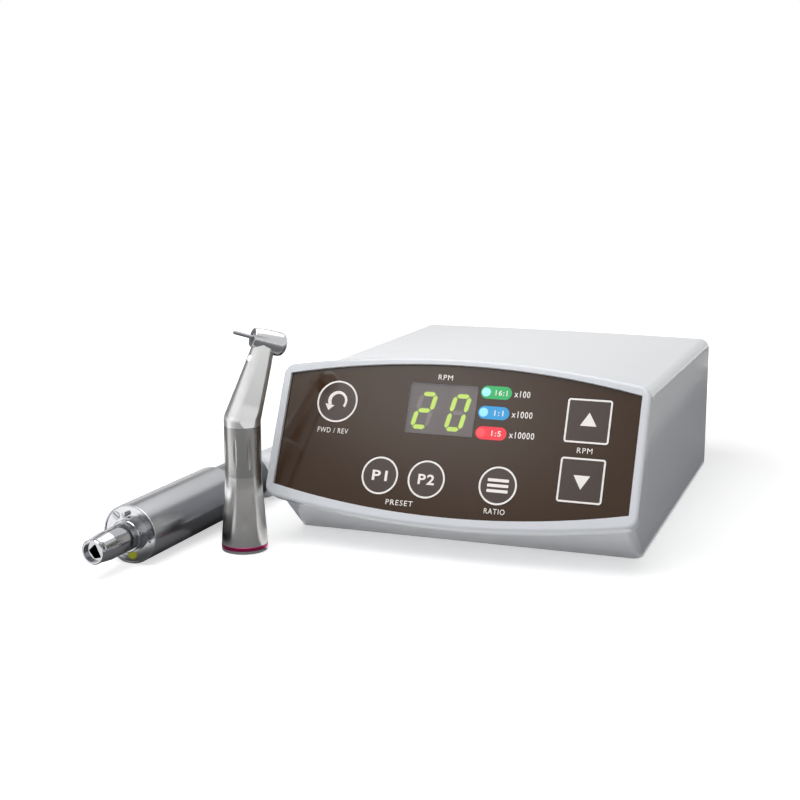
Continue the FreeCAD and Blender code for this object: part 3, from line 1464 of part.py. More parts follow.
def make_light_window():
    return put(light_form(0), NECK_FRAME)


# Gears


def gear_teeth(count, inner, outer, z0, z1, share, offset=0.0):
    """Straight radial teeth as narrow wedges between two radii."""
    teeth = []
    half = math.pi * share / count
    for i in range(count):
        turn = 2 * math.pi * (i + offset) / count
        corners = []
        for radius, side in ((inner, -1), (outer, -1), (outer, 1), (inner, 1)):
            angle = turn + side * half
            corners.append(vec(radius * math.cos(angle), radius * math.sin(angle), z0))
        face = Part.Face(Part.makePolygon(corners + corners[:1]))
        teeth.append(face.extrude(vec(0, 0, z1 - z0)))
    return teeth


def ring_cone():
    """Half angle of the ring's pitch cone and its distance from the bend."""
    ratio = PINION_TEETH / RING_TEETH
    lean = math.radians(NECK_LEAN)
    cone = math.atan2(math.sin(lean), math.cos(lean) - ratio)
    return cone, RING_PITCH_R / math.sin(cone)


def ring_level():
    """Height of the middle of the ring's teeth."""
    cone, reach = ring_cone()
    return BEND_Z - reach * math.cos(cone)


def make_input_shaft():
    """The shaft that the motor turns, with a blade below and an internally toothed cup above."""
    level = ring_level()
    low, high = level - GEAR_FACE / 2, level + GEAR_FACE / 2
    rim = RING_PITCH_R + TOOTH_HEIGHT / 2
    shaft = rod(INPUT_SHAFT_R, INPUT_DOG_Z + DOG_HEIGHT, CARTRIDGE_TOP + 0.4)
    blade = rod(INPUT_SHAFT_R, INPUT_DOG_Z, INPUT_DOG_Z + DOG_HEIGHT)
    blade = blade.common(box(-5, 5, -DOG_WIDTH / 2, DOG_WIDTH / 2, 0, 60))
    floor = rod(rim + RING_RIM, CARTRIDGE_TOP + 0.3, CARTRIDGE_TOP + 1.3)
    wall = tube(rim + RING_RIM, rim, CARTRIDGE_TOP + 1, high)
    teeth = gear_teeth(RING_TEETH, rim - TOOTH_HEIGHT, rim + 0.1, low, high, TOOTH_SHARE)
    return put(join([shaft, blade, floor, wall] + teeth), HANDPIECE_FRAME)


def make_neck_shaft():
    """The shaft in the neck: a pinion in the ring below, the crown wheel under the spindle."""
    cone, reach = ring_cone()
    at = -reach * math.cos(cone - math.radians(NECK_LEAN))
    pitch = RING_PITCH_R * PINION_TEETH / RING_TEETH
    low, high = at - GEAR_FACE / 2, at + GEAR_FACE / 2
    tip = pitch + TOOTH_HEIGHT / 2 - GEAR_FACE / 2 * math.sin(math.radians(NECK_LEAN)) - TIP_GAP
    core = rod(NECK_SHAFT_R + 0.1, low, high)
    teeth = gear_teeth(PINION_TEETH, NECK_SHAFT_R, tip, low, high, TOOTH_SHARE)
    spindle_pitch = CROWN_PITCH_R * SPINDLE_TEETH / CROWN_TEETH
    tooth_top = HEAD_AT - spindle_pitch + TOOTH_HEIGHT / 2 - TIP_GAP
    tooth_root = tooth_top - TOOTH_HEIGHT
    inner, outer = CROWN_PITCH_R - CROWN_FACE / 2, CROWN_PITCH_R + CROWN_FACE / 2
    disc = rod(outer, tooth_root - CROWN_DISC, tooth_root)
    crown = gear_teeth(CROWN_TEETH, inner, outer, tooth_root - 0.1, tooth_top, TOOTH_SHARE)
    shaft = rod(NECK_SHAFT_R, high - 0.1, tooth_root - CROWN_DISC + 0.1)
    return put(join([core, shaft, disc] + teeth + crown), NECK_FRAME)


def make_chuck():
    """The spindle that holds the bur, with its pinion over the crown wheel."""
    pitch = CROWN_PITCH_R * SPINDLE_TEETH / CROWN_TEETH
    low, high = -CROWN_PITCH_R - CROWN_FACE / 2, -CROWN_PITCH_R + CROWN_FACE / 4
    tip = pitch + TOOTH_HEIGHT / 2 - 2 * TIP_GAP
    front = HEAD_FRONT - 0.4
    shaft = rod(SPINDLE_R, -HEAD_BACK + 2.7, front)
    nose = rod(CHUCK_NOSE_R, CROWN_PITCH_R + CROWN_FACE / 2 + 0.35, HEAD_FRONT + 0.2)
    teeth = gear_teeth(SPINDLE_TEETH, SPINDLE_R - 0.1, tip, low, high, TOOTH_SHARE, 0.5)
    bore = rod(BUR_R + BUR_GAP, -BUR_DEPTH - 0.1, HEAD_FRONT + 1)
    return put(join([shaft, nose] + teeth).cut(bore), HEAD_FRAME)


def make_spindle_bearings():
    width = SPINDLE_BEARING_WIDTH
    front_low = CROWN_PITCH_R + CROWN_FACE / 2 + 0.6
    front = tube(SPINDLE_BEARING_R, CHUCK_NOSE_R + RUNNING_GAP, front_low, front_low + width)
    rear_low = -HEAD_BACK + 3.0
    rear = tube(SPINDLE_BEARING_R, SPINDLE_R + RUNNING_GAP, rear_low, rear_low + width)
    return put(Part.makeCompound([front, rear]), HEAD_FRAME)


def make_bur():
    bur = rod(BUR_R, -BUR_DEPTH, BUR_REACH)
    tip = [e for e in bur.Edges if e.BoundBox.ZMin > BUR_REACH - 0.01]
    return put(bur.makeFillet(0.3, tip), HEAD_FRAME)


def make_head_button():
    """The push button that frees the bur, domed to the head's rear cap."""
    low = -HEAD_BACK
    button = rod(BUTTON_R, low, low + BUTTON_THICK)
    rear = [e for e in button.Edges if e.BoundBox.ZMax < low + 0.01]
    return put(button.makeFillet(0.6, rear), HEAD_FRAME)


def make_button_spring():
    """The disc spring under the button."""
    low = -HEAD_BACK + BUTTON_THICK + BUTTON_TRAVEL + 0.1
    return put(tube(SPINDLE_BEARING_R, SPINDLE_R + 0.5, low, low + 0.3), HEAD_FRAME)


def all_parts():
    """Every sub-part by node name."""
    parts = {
        "cover_shell": make_cover_shell(),
        "base_plate": make_base_plate(),
        "front_bezel": make_front_bezel(),
        "control_panel": make_control_panel(),
        "display_window": make_display_window(),
        "display_module": make_display_module(),
        "lit_segments": make_lit_segments(),
        "key_board": make_key_board(),
        "key_switches": make_key_switches(),
        "main_board": make_main_board(),
        "power_supply": make_power_supply(),
        "case_screws": make_case_screws(),
        "rubber_pads": make_rubber_pads(),
        "power_inlet": make_power_inlet(),
        "switch_frame": make_switch_frame(),
        "power_rocker": make_power_rocker(),
        "pedal_socket": make_pedal_socket(),
        "hose_socket": make_hose_socket(),
        "hose_plug": make_hose_plug(),
        "hose_run_socket": make_hose_run_socket(),
        "hose_coil": make_hose_coil(),
        "hose_run_side": make_hose_run_side(),
        "hose_boot": make_hose_boot(),
        "hose_connector": make_hose_connector(),
        "motor_sleeve": make_motor_sleeve(),
        "front_plate": make_front_plate(),
        "plate_screws": make_plate_screws(),
        "coupling_nose": make_coupling_nose(),
        "nose_ring": make_nose_ring(),
        "locating_pin": make_locating_pin(),
        "motor_lamp": make_motor_lamp(),
        "stator_core": make_stator_core(),
        "stator_winding": make_stator_winding(),
        "motor_bearings": make_motor_bearings(),
        "rear_cap": make_rear_cap(),
        "motor_shaft": make_motor_shaft(),
        "rotor_magnet": make_rotor_magnet(),
        "handle_sleeve": make_handle_sleeve(),
        "neck_sleeve": make_neck_sleeve(),
        "colour_ring": make_colour_ring(),
        "end_ring": make_end_ring(),
        "head_shell": make_head_shell(),
        "light_window": make_light_window(),
        "gear_cartridge": make_gear_cartridge(),
        "input_shaft": make_input_shaft(),
        "neck_shaft": make_neck_shaft(),
        "chuck": make_chuck(),
        "spindle_bearings": make_spindle_bearings(),
        "bur": make_bur(),
        "head_button": make_head_button(),
        "button_spring": make_button_spring(),
    }
    for colour, v in zip(("green", "blue", "red"), LAMP_VS):
        parts[f"ratio_lamp_{colour}"] = make_ratio_lamp(v)
    for name, x, v, radius in round_keys():
        parts[name] = make_round_key(x, v, radius)
    for name, x, v in square_keys():
        parts[name] = make_square_key(x, v)
    return parts


def main():
    os.makedirs("parts", exist_ok=True)
    parts = all_parts()
    for name, shape in parts.items():
        shape.exportStep(f"parts/{name}.step")
        sides = shape.BoundBox
        print(
            f"{name}: solids {len(shape.Solids)}, valid {shape.isValid()}, "
            f"size {sides.XLength:.1f} x {sides.YLength:.1f} x {sides.ZLength:.1f}"
        )
    print(len(parts), "nodes")


main()
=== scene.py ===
"""Finishes for a dental micromotor set: console, motor on its hose, and contra-angle handpiece.

The finished model is in metres. Sizes whose names end in _MM are in millimetres.
"""

import json
import math

import bpy
from bpy.props import FloatProperty, FloatVectorProperty, PointerProperty
from mathutils import Matrix, Vector


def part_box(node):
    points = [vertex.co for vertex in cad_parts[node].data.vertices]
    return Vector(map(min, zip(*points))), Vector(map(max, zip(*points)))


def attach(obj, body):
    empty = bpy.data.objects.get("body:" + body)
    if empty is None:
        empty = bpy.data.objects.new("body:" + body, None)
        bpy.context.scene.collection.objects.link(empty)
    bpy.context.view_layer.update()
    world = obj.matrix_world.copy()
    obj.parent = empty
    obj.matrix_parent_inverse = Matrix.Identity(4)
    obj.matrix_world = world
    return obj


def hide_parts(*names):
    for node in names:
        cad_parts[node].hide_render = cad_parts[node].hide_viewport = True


bl_info = {
    "name": "Dental micromotor finishes",
    "version": (1, 1, 0),
    "blender": (4, 5, 0),
    "location": "3D View > Sidebar > Micromotor",
    "description": "Pieces, finishes, lights and camera for a dental micromotor set",
    "category": "Object",
}

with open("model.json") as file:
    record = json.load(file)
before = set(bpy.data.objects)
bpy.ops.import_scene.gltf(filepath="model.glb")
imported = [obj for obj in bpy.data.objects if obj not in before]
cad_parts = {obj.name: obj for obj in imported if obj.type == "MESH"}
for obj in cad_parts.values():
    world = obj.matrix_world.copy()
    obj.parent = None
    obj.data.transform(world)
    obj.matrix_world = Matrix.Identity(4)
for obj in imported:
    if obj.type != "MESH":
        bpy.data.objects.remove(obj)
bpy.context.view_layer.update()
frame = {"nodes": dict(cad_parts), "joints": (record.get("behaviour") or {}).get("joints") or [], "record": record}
NODES = frame["nodes"]

MM = 0.001

# Camera, as it stood for the photograph
CAMERA_PLACE = (0.1795, -0.6719, 0.1858)
CAMERA_TURN = (78.439, 0.0, 19.596)
CAMERA_LENS = 67.69
CAMERA_NEAR = 0.01
SENSOR = 36.0

# Studio: lamps as (name, place, what it faces, width and height, radiance)
LAMPS = (
    ("overhead_softbox", (-0.07, -0.34, 0.62), (-0.07, -0.25, 0.0), (0.5, 0.5), 3.6),
    ("left_softbox", (-1.1, -0.85, 0.4), (-0.08, -0.12, 0.05), (1.5, 1.2), 0.5),
)
FLOOR_SIZE = 8.0
FLOOR_DROP = 0.0002
# The floor's own glow grows to full white between these distances from its middle
WHITE_REACH = (0.14, 0.34)
WHITE = (1, 1, 1, 1)
# Cards that only metal and gloss see: name, lowest and highest corner, grey, own light.
# The strips beside the console darken the lower part of its walls, as the photograph shows.
CARD_LEVEL = 0.0003
CEILING = 0.66
CARDS = (
    ("front_card", (-0.125, -0.75, CARD_LEVEL), (0.1115, -0.125, CARD_LEVEL), "#868688", 0.0),
    ("front_left_card", (-0.5, -0.75, CARD_LEVEL), (-0.125, -0.27, CARD_LEVEL), "#868688", 0.0),
    ("left_card", (-0.14, -0.125, CARD_LEVEL), (-0.076, 0.36, CARD_LEVEL), "#525254", 0.0),
    ("far_left_card", (-0.6, -0.165, CARD_LEVEL), (-0.14, 0.36, CARD_LEVEL), "#8C8C8E", 0.0),
    ("right_card", (0.076, -0.125, CARD_LEVEL), (0.1115, 0.36, CARD_LEVEL), "#808082", 0.0),
    ("far_right_card", (0.1115, -0.75, CARD_LEVEL), (0.5, 0.9, CARD_LEVEL), "#8C8C8E", 0.2),
    ("rear_ceiling_card", (-0.6, 1.25, CEILING), (0.08, 2.2, CEILING), "#8C8C8E", 0.16),
    ("left_ceiling_card", (-1.2, 0.75, CEILING), (-0.6, 1.9, CEILING), "#8C8C8E", 0.2),
    ("front_ceiling_card", (-1.4, -1.3, CEILING), (0.9, -0.62, CEILING), "#8C8C8E", 0.3),
    ("left_wall_card", (-1.5, -0.7, 0.0), (-1.5, 1.2, 0.6), "#8C8C8E", 0.12),
    ("top_ceiling_card", (-0.35, -0.05, CEILING), (0.25, 0.55, CEILING), "#F0F0F0", 3.0),
)
# The soft patch of light on the ceiling that the panel mirrors: centre, radius and strength
CEILING_PATCH = ((-0.32, -0.8, CEILING), 0.28, 1.45)

# The hose's route, in metres: from the boot past the console, round the coil and up to its plug.
# HOSE_START holds the points from the boot to the coil, and HOSE_END the depth and height of
# those from the coil's top to the plug. Both are listed here.
HOSE_R = 0.004
COIL_X = -0.095
COIL_Y = 0.165
COIL_OUTER_R = 0.0529
COIL_STEP = 0.0043
COIL_TURNS_IN = 4
COIL_PITCH = 0.0086
COIL_Z = 0.0041
COIL_POINTS = 8
HOSE_START = [
    (-0.103093, -0.005508, 0.011),
    (-0.100336, 0.016318, 0.011),
    (-0.098, 0.046, 0.0068),
    (-0.0962, 0.080, 0.0044),
    (COIL_X, 0.124, COIL_Z),
    (COIL_X, COIL_Y - 2 * HOSE_R, COIL_Z),
]
HOSE_END = (
    (COIL_Y - 2 * HOSE_R, COIL_Z + COIL_PITCH),
    (0.144, COIL_Z + COIL_PITCH),
    (0.128, 0.016),
    (0.1155, 0.016),
)

# The boot behind the motor: distance along it and radius, in millimetres
BOOT_LENGTH_MM = 52.0
BOOT_FRONT = ((-2.0, 7.5), (0.0, 7.6), (0.4, 8.8), (1.4, 9.9), (2.6, 10.5), (3.6, 10.7))
BOOT_TAIL = ((30.0, 10.7), (34.0, 10.2), (38.0, 9.1), (42.0, 7.5), (46.0, 6.1), (49.0, 5.4), (52.0, 5.2))
BOOT_GROOVES_MM = (8.0, 12.5, 17.0, 21.5, 26.0)
GROOVE_WIDTH_MM = 1.4
# A groove's section: place along it as a share of its width, and share of its depth
GROOVE_SHAPE = ((-0.5, 0.0), (-0.3, 0.75), (0.0, 1.0), (0.3, 0.75), (0.5, 0.0))

# Print on the panel, keys and lamps
PRINT_THICK_MM = 0.05
SQUARE_CORNER_MM = 1.2
ARROW_CORNER_MM = 0.2
KEY_LETTER_MM = 4.3
KEY_WEIGHT_MM = 0.1
RATIO_LETTER_MM = 2.3
MULTIPLIER_LETTER_MM = 2.75
LAMP_WEIGHT_MM = 0.03
# How far a key's hidden flange stands out past its face
KEY_FLANGE_MM = 1.2
# Words on and beside each lamp: its colour, ratio and width, multiplier and width
LAMP_WORDS = (
    ("green", "16:1", 5.0, "x100", 6.6),
    ("blue", "1:1", 3.8, "x1000", 8.6),
    ("red", "1:5", 4.0, "x10000", 10.4),
)
# The pale dot in a lamp: how far it stands left of the lens's round end, and its soft edge
DOT_SHIFT_MM = 0.4
DOT_EDGE_MM = (1.7, 2.05)
# The display block's unlit bars are what lies this close to its highest point
BAR_TOP_MM = 0.07

# Height on the handle where the flare turns into the grip, whose colour is painted darker as shade
GRIP_EDGE_MM = (31.4, 32.4)

# The panel's corners lie further from the middle than this
PANEL_SIDE_MM = 74.9

# Faces that meet at less than this angle, in degrees, are shaded as one surface
SMOOTH_TURN = 35

# Finest grain that the render shows; a pattern that is finer on the real piece is drawn this coarse
SHOWN_MM = 0.6

# Inputs and output of a Mix node when it mixes colours
MIX_A, MIX_B, MIX_OUT = 6, 7, 2


def child_joint(body):
    return next(j for j in frame["joints"] if j["child"] == body)


# The panel's own directions, from the way its keys move
PANEL_RIGHT = Vector((1, 0, 0))
PANEL_OUT = -Vector(child_joint("reverse")["axis"])
PANEL_UP = PANEL_OUT.cross(PANEL_RIGHT)
KEY_BODIES = ("reverse", "memory1", "memory2", "select", "speed_up", "speed_down")
KEY_NODES = {body: frame["record"]["behaviour"]["bodies"][body][0] for body in KEY_BODIES}


def panel_corner():
    """The panel's own origin: halfway along its lower corners, on its face."""
    face = Vector(child_joint("reverse")["pos_m"])
    points = [v.co for v in NODES["control_panel"].data.vertices]
    low = min(point.dot(PANEL_UP) for point in points if abs(point.x) > PANEL_SIDE_MM * MM)
    return PANEL_UP * low + PANEL_OUT * face.dot(PANEL_OUT)


def frame_matrix(right, up, out, origin):
    """A matrix from its three directions and its origin."""
    turned = Matrix((right, up, out)).transposed().to_4x4()
    return Matrix.Translation(origin) @ turned


PANEL = frame_matrix(PANEL_RIGHT, PANEL_UP, PANEL_OUT, panel_corner())


def panel_box(node):
    """Lowest and highest corner of a node in the panel's own directions, in millimetres."""
    to_panel = PANEL.inverted()
    points = [to_panel @ v.co / MM for v in NODES[node].data.vertices]
    low = Vector([min(p[i] for p in points) for i in range(3)])
    high = Vector([max(p[i] for p in points) for i in range(3)])
    return low, high


def key_centre(body):
    """Where a key's centre is on the panel, in millimetres."""
    return PANEL.inverted() @ Vector(child_joint(body)["pos_m"]) / MM


def middle(node):
    low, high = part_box(node)
    return (low + high) / 2


# Colours and materials


def linear(code):
    """A colour written as sRGB hex, turned to linear; one that is linear already stays as it is."""
    if not isinstance(code, str):
        return code
    values = [int(code[i : i + 2], 16) / 255 for i in (1, 3, 5)]
    return [v / 12.92 if v <= 0.04045 else ((v + 0.055) / 1.055) ** 2.4 for v in values] + [1.0]


def grains(size_mm):
    """The scale of a noise whose grains are this large, or as coarse as they need to be to show."""
    return 1 / (max(size_mm, SHOWN_MM) * MM)


def feed(tree, node, inputs):
    """Sets a node's inputs, each to a value or to the socket that feeds it."""
    for key, value in inputs.items():
        if isinstance(value, bpy.types.NodeSocket):
            tree.links.new(value, node.inputs[key])
        else:
            node.inputs[key].default_value = value


def add(tree, kind, inputs=None, **settings):
    """Adds a node with its settings and its inputs."""
    node = tree.nodes.new("ShaderNode" + kind)
    for name, value in settings.items():
        setattr(node, name, value)
    feed(tree, node, inputs or {})
    return node


def start_material(name, **constants):
    """A named material: itself, its tree, its shader, and the point in the model's metres."""
    material = bpy.data.materials.new(name)
    material.use_nodes = True
    tree = material.node_tree
    shader = tree.nodes["Principled BSDF"]
    feed(tree, shader, {key.replace("_", " "): value for key, value in constants.items()})
    return material, tree, shader, add(tree, "TexCoord").outputs["Object"]


def clouded(tree, place, grain_mm, detail, light, dark):
    """A noise of this grain, and the colour that it moves between two tones."""
    noise = add(tree, "TexNoise", {"Vector": place, "Scale": grains(grain_mm), "Detail": detail})
    cloud = noise.outputs["Fac"]
    tone = add(tree, "Mix", {0: cloud, MIX_A: linear(light), MIX_B: linear(dark)}, data_type="RGBA")
    return cloud, tone.outputs[MIX_OUT]


def moulded(name, light, dark, roughness, grain_mm, depth_mm, **constants):
    """A moulded skin: a faintly clouded colour, gloss that varies with handling, and a grain."""
    material, tree, shader, place = start_material(name, **constants)
    tone = clouded(tree, place, 18.0, 3.0, light, dark)[1]
    wear = add(tree, "TexNoise", {"Vector": place, "Scale": grains(4.0), "Detail": 5.0})
    gloss = add(
        tree,
        "MapRange",
        {"Value": wear.outputs["Fac"], "To Min": roughness * 0.8, "To Max": roughness * 1.2},
    )
    skin = add(tree, "TexNoise", {"Vector": place, "Scale": grains(grain_mm), "Detail": 2.0})
    relief = add(tree, "Bump", {"Height": skin.outputs["Fac"], "Distance": depth_mm * MM})
    feed(
        tree, shader, {"Base Color": tone, "Roughness": gloss.outputs[0], "Normal": relief.outputs[0]}
    )
    return material


def blasted(name, light, dark, roughness, grit_mm, depth_mm):
    """Metal blasted with glass beads: an even satin with a fine speckle and no direction."""
    material, tree, shader, place = start_material(name, Metallic=1.0)
    grit, tone = clouded(tree, place, grit_mm, 3.0, light, dark)
    cloud = add(tree, "TexNoise", {"Vector": place, "Scale": grains(12.0), "Detail": 2.0})
    satin = add(
        tree,
        "MapRange",
        {"Value": cloud.outputs["Fac"], "To Min": roughness * 0.85, "To Max": roughness * 1.15},
    )
    pits = add(tree, "Bump", {"Height": grit, "Distance": depth_mm * MM})
    feed(tree, shader, {"Base Color": tone, "Roughness": satin.outputs[0], "Normal": pits.outputs[0]})
    return material


def turned(name, light, dark, roughness, feed_mm, depth_mm, body):
    """Metal turned on a lathe: fine hoops round the axis that its body turns about."""
    material, tree, shader, place = start_material(name, Metallic=1.0)
    spin = child_joint(body)
    arm = add(tree, "VectorMath", {0: place, 1: spin["pos_m"]}, operation="SUBTRACT").outputs[0]
    along = add(tree, "VectorMath", {0: arm, 1: spin["axis"]}, operation="DOT_PRODUCT")
    across = add(tree, "VectorMath", {0: arm, 1: spin["axis"]}, operation="CROSS_PRODUCT")
    reach = add(tree, "VectorMath", {0: across.outputs[0]}, operation="LENGTH")
    section = add(tree, "CombineXYZ", {"X": along.outputs["Value"], "Y": reach.outputs["Value"]})
    hoops, tone = clouded(tree, section.outputs[0], feed_mm, 4.0, light, dark)
    gloss = add(
        tree,
        "MapRange",
        {"Value": hoops, "To Min": roughness * 0.7, "To Max": roughness * 1.3},
    )
    lines = add(tree, "Bump", {"Height": hoops, "Distance": depth_mm * MM})
    feed(tree, shader, {"Base Color": tone, "Roughness": gloss.outputs[0], "Normal": lines.outputs[0]})
    return material


def polished(name, light, dark, roughness):
    """Polished or plated metal: nearly a mirror, with the faint haze that wiping leaves."""
    material, tree, shader, place = start_material(name, Metallic=1.0)
    wiped = add(tree, "Mapping", {"Vector": place, "Scale": (1.0, 1.0, 3.0)})
    haze, tone = clouded(tree, wiped.outputs[0], 3.0, 4.0, light, dark)
    gloss = add(
        tree,
        "MapRange",
        {"Value": haze, "To Min": roughness * 0.6, "To Max": roughness * 1.4},
    )
    feed(tree, shader, {"Base Color": tone, "Roughness": gloss.outputs[0]})
    return material


def paint(material, *nodes):
    """Gives CAD nodes a material of their own."""
    for node in nodes:
        data = NODES[node].data
        data.materials.clear()
        data.materials.append(material)


# Modelling helpers


def deselect():
    if bpy.context.object and bpy.context.object.mode != "OBJECT":
        bpy.ops.object.mode_set(mode="OBJECT")
    bpy.ops.object.select_all(action="DESELECT")


def only(obj):
    deselect()
    obj.select_set(True)
    bpy.context.view_layer.objects.active = obj


def edit_all(mode="FACE"):
    """Edit mode with everything selected."""
    bpy.ops.object.mode_set(mode="EDIT")
    bpy.ops.mesh.select_mode(type=mode)
    bpy.ops.mesh.select_all(action="SELECT")


def object_mode():
    bpy.ops.object.mode_set(mode="OBJECT")


def place(obj, matrix):
    """Moves the piece by a matrix and puts its place in its mesh."""
    only(obj)
    obj.matrix_world = matrix @ obj.matrix_world
    bpy.ops.object.transform_apply(location=True, rotation=True, scale=True)
    return obj


def join_pieces(pieces):
    deselect()
    for piece in pieces:
        piece.select_set(True)
    bpy.context.view_layer.objects.active = pieces[0]
    if len(pieces) > 1:
        bpy.ops.object.join()
    return bpy.context.object


def finish_piece(obj, name, material, body):
    """Names a piece, gives it its material and slot, and lets it ride on its body."""
    only(obj)
    obj.name = name
    obj.data.name = name
    obj.data.materials.clear()
    obj.data.materials.append(material)
    bpy.ops.object.shade_smooth_by_angle(angle=math.radians(SMOOTH_TURN))
    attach(obj, body)
    return obj


def raise_print(obj):
    """Gives a flat print its thickness, upwards."""
    only(obj)
    edit_all()
    bpy.ops.mesh.extrude_region_move(TRANSFORM_OT_translate={"value": (0, 0, PRINT_THICK_MM)})
    bpy.ops.mesh.select_all(action="SELECT")
    bpy.ops.mesh.normals_make_consistent(inside=False)
    object_mode()
    return obj


def flat_disc(x, y, radius):
    deselect()
    bpy.ops.mesh.primitive_circle_add(vertices=96, radius=radius, fill_type="NGON", location=(x, y, 0))
    bpy.ops.object.transform_apply(location=True)
    return bpy.context.object


def flat_square(x, y, width, height, corner):
    """A flat rectangle with rounded corners."""
    deselect()
    bpy.ops.mesh.primitive_plane_add(size=1, location=(x, y, 0))
    obj = bpy.context.object
    obj.scale = (width, height, 1)
    bpy.ops.object.transform_apply(location=True, scale=True)
    edit_all("VERT")
    bpy.ops.mesh.bevel(offset=corner, segments=6, affect="VERTICES")
    object_mode()
    return obj


def outline_print(obj, width):
    """Turns a flat shape into a thin printed outline along its inside."""
    only(obj)
    edit_all()
    bpy.ops.mesh.inset(thickness=width)
    bpy.ops.mesh.delete(type="FACE")
    object_mode()
    return raise_print(obj)


def triangle_print(x, y, width, height, up=True):
    """A thin printed arrowhead that points up or down, centred on its own height."""
    deselect()
    bpy.ops.mesh.primitive_circle_add(vertices=3, radius=1, fill_type="NGON", location=(0, 0, 0))
    obj = bpy.context.object
    sign = 1 if up else -1
    wide, high = math.sqrt(3), 1.5
    obj.scale = (width / wide, sign * height / high, 1)
    obj.location = (x, y - sign * height / 6, 0)
    bpy.ops.object.transform_apply(location=True, scale=True)
    edit_all("VERT")
    bpy.ops.mesh.bevel(offset=ARROW_CORNER_MM, segments=3, affect="VERTICES")
    bpy.ops.mesh.select_all(action="SELECT")
    bpy.ops.mesh.normals_make_consistent(inside=False)
    object_mode()
    return raise_print(obj)


def arc_print(x, y, radius, width, first, last, taper):
    """A printed ring, wider on its left, that keeps only the arc between two angles in degrees."""
    obj = flat_disc(x, y, radius + width / 2)
    edit_all()
    bpy.ops.mesh.inset(thickness=width)
    bpy.ops.transform.translate(value=(taper, 0, 0))
    bpy.ops.mesh.delete(type="FACE")
    bpy.ops.mesh.select_mode(type="FACE")
    bpy.ops.mesh.select_all(action="DESELECT")
    object_mode()
    for face in obj.data.polygons:
        turn = math.degrees(math.atan2(face.center.y - y, face.center.x - x))
        face.select = not first < (turn if turn > first else turn + 360) < last
    bpy.ops.object.mode_set(mode="EDIT")
    bpy.ops.mesh.delete(type="FACE")
    object_mode()
    return raise_print(obj)


def text_print(words, x, y, height, width, weight=0.0):
    """Words as a thin raised print, centred, as tall and as wide as asked."""
    deselect()
    bpy.ops.object.text_add(location=(0, 0, 0))
    obj = bpy.context.object
    obj.data.body = words
    obj.data.size = height
    obj.data.offset = weight
    obj.data.space_character = 1.15
    obj.data.resolution_u = 3
    bpy.ops.object.convert(target="MESH")
    obj = bpy.context.object
    low, high = Vector(obj.bound_box[0]), Vector(obj.bound_box[6])
    across, up = width / (high.x - low.x), height / (high.y - low.y)
    centre = (low + high) / 2
    obj.scale = (across, up, 1)
    obj.location = (x - centre.x * across, y - centre.y * up, 0)
    bpy.ops.object.transform_apply(location=True, scale=True)
    return raise_print(obj)


def to_panel_face(pieces):
    """Joins prints that were made flat in millimetres and lays them on the panel's face."""
    return place(join_pieces(pieces), PANEL @ Matrix.Scale(MM, 4))


def ring_form(rings, sides=64):
    """A round form along Z from (height, radius) rings: a disc, extruded and resized ring by ring."""
    deselect()
    height, radius = rings[0]
    bpy.ops.mesh.primitive_circle_add(
        vertices=sides, radius=radius, fill_type="NGON", location=(0, 0, height)
    )
    obj = bpy.context.object
    bpy.ops.object.transform_apply(location=True)
    edit_all()
    for (low, before), (high, after) in zip(rings, rings[1:]):
        bpy.ops.mesh.extrude_region_move(TRANSFORM_OT_translate={"value": (0, 0, high - low)})
        share = after / before
        bpy.ops.transform.resize(value=(share, share, 1), center_override=(0, 0, high))
    bpy.ops.mesh.select_all(action="SELECT")
    bpy.ops.mesh.normals_make_consistent(inside=False)
    object_mode()
    return obj


# What a user may change


class ConsoleLooks(bpy.types.PropertyGroup):
    """Colours and sizes of the console's finishes."""

    housing: FloatVectorProperty(
        name="Housing",
        description="Colour of the glossy housing",
        subtype="COLOR",
        size=4,
        default=linear("#E2E5EA"),
    )
    letter_height: FloatProperty(
        name="Letter height",
        description="Height of the panel's capitals",
        unit="LENGTH",
        default=2.2 * MM,
    )
    outline_width: FloatProperty(
        name="Outline width",
        description="Width of the printed outline on a key",
        unit="LENGTH",
        default=0.76 * MM,
    )


class HoseLooks(bpy.types.PropertyGroup):
    """Sizes of the hose and its boot."""

    diameter: FloatProperty(
        name="Diameter", description="Outer diameter of the hose", unit="LENGTH", default=2 * HOSE_R
    )
    groove_depth: FloatProperty(
        name="Groove depth",
        description="Depth of the grooves round the boot",
        unit="LENGTH",
        default=0.5 * MM,
    )


class StageLooks(bpy.types.PropertyGroup):
    """Light on the set."""

    lamp_level: FloatProperty(
        name="Lamps", description="Share of their usual light that the lamps give", default=1.0
    )
    room_light: FloatProperty(
        name="Room light", description="Strength of the plain room light", default=0.3
    )
    paper_glow: FloatProperty(
        name="Paper glow", description="How white the floor stays where the set shades it", default=0.5
    )


def looks(name):
    return getattr(bpy.context.scene, name)


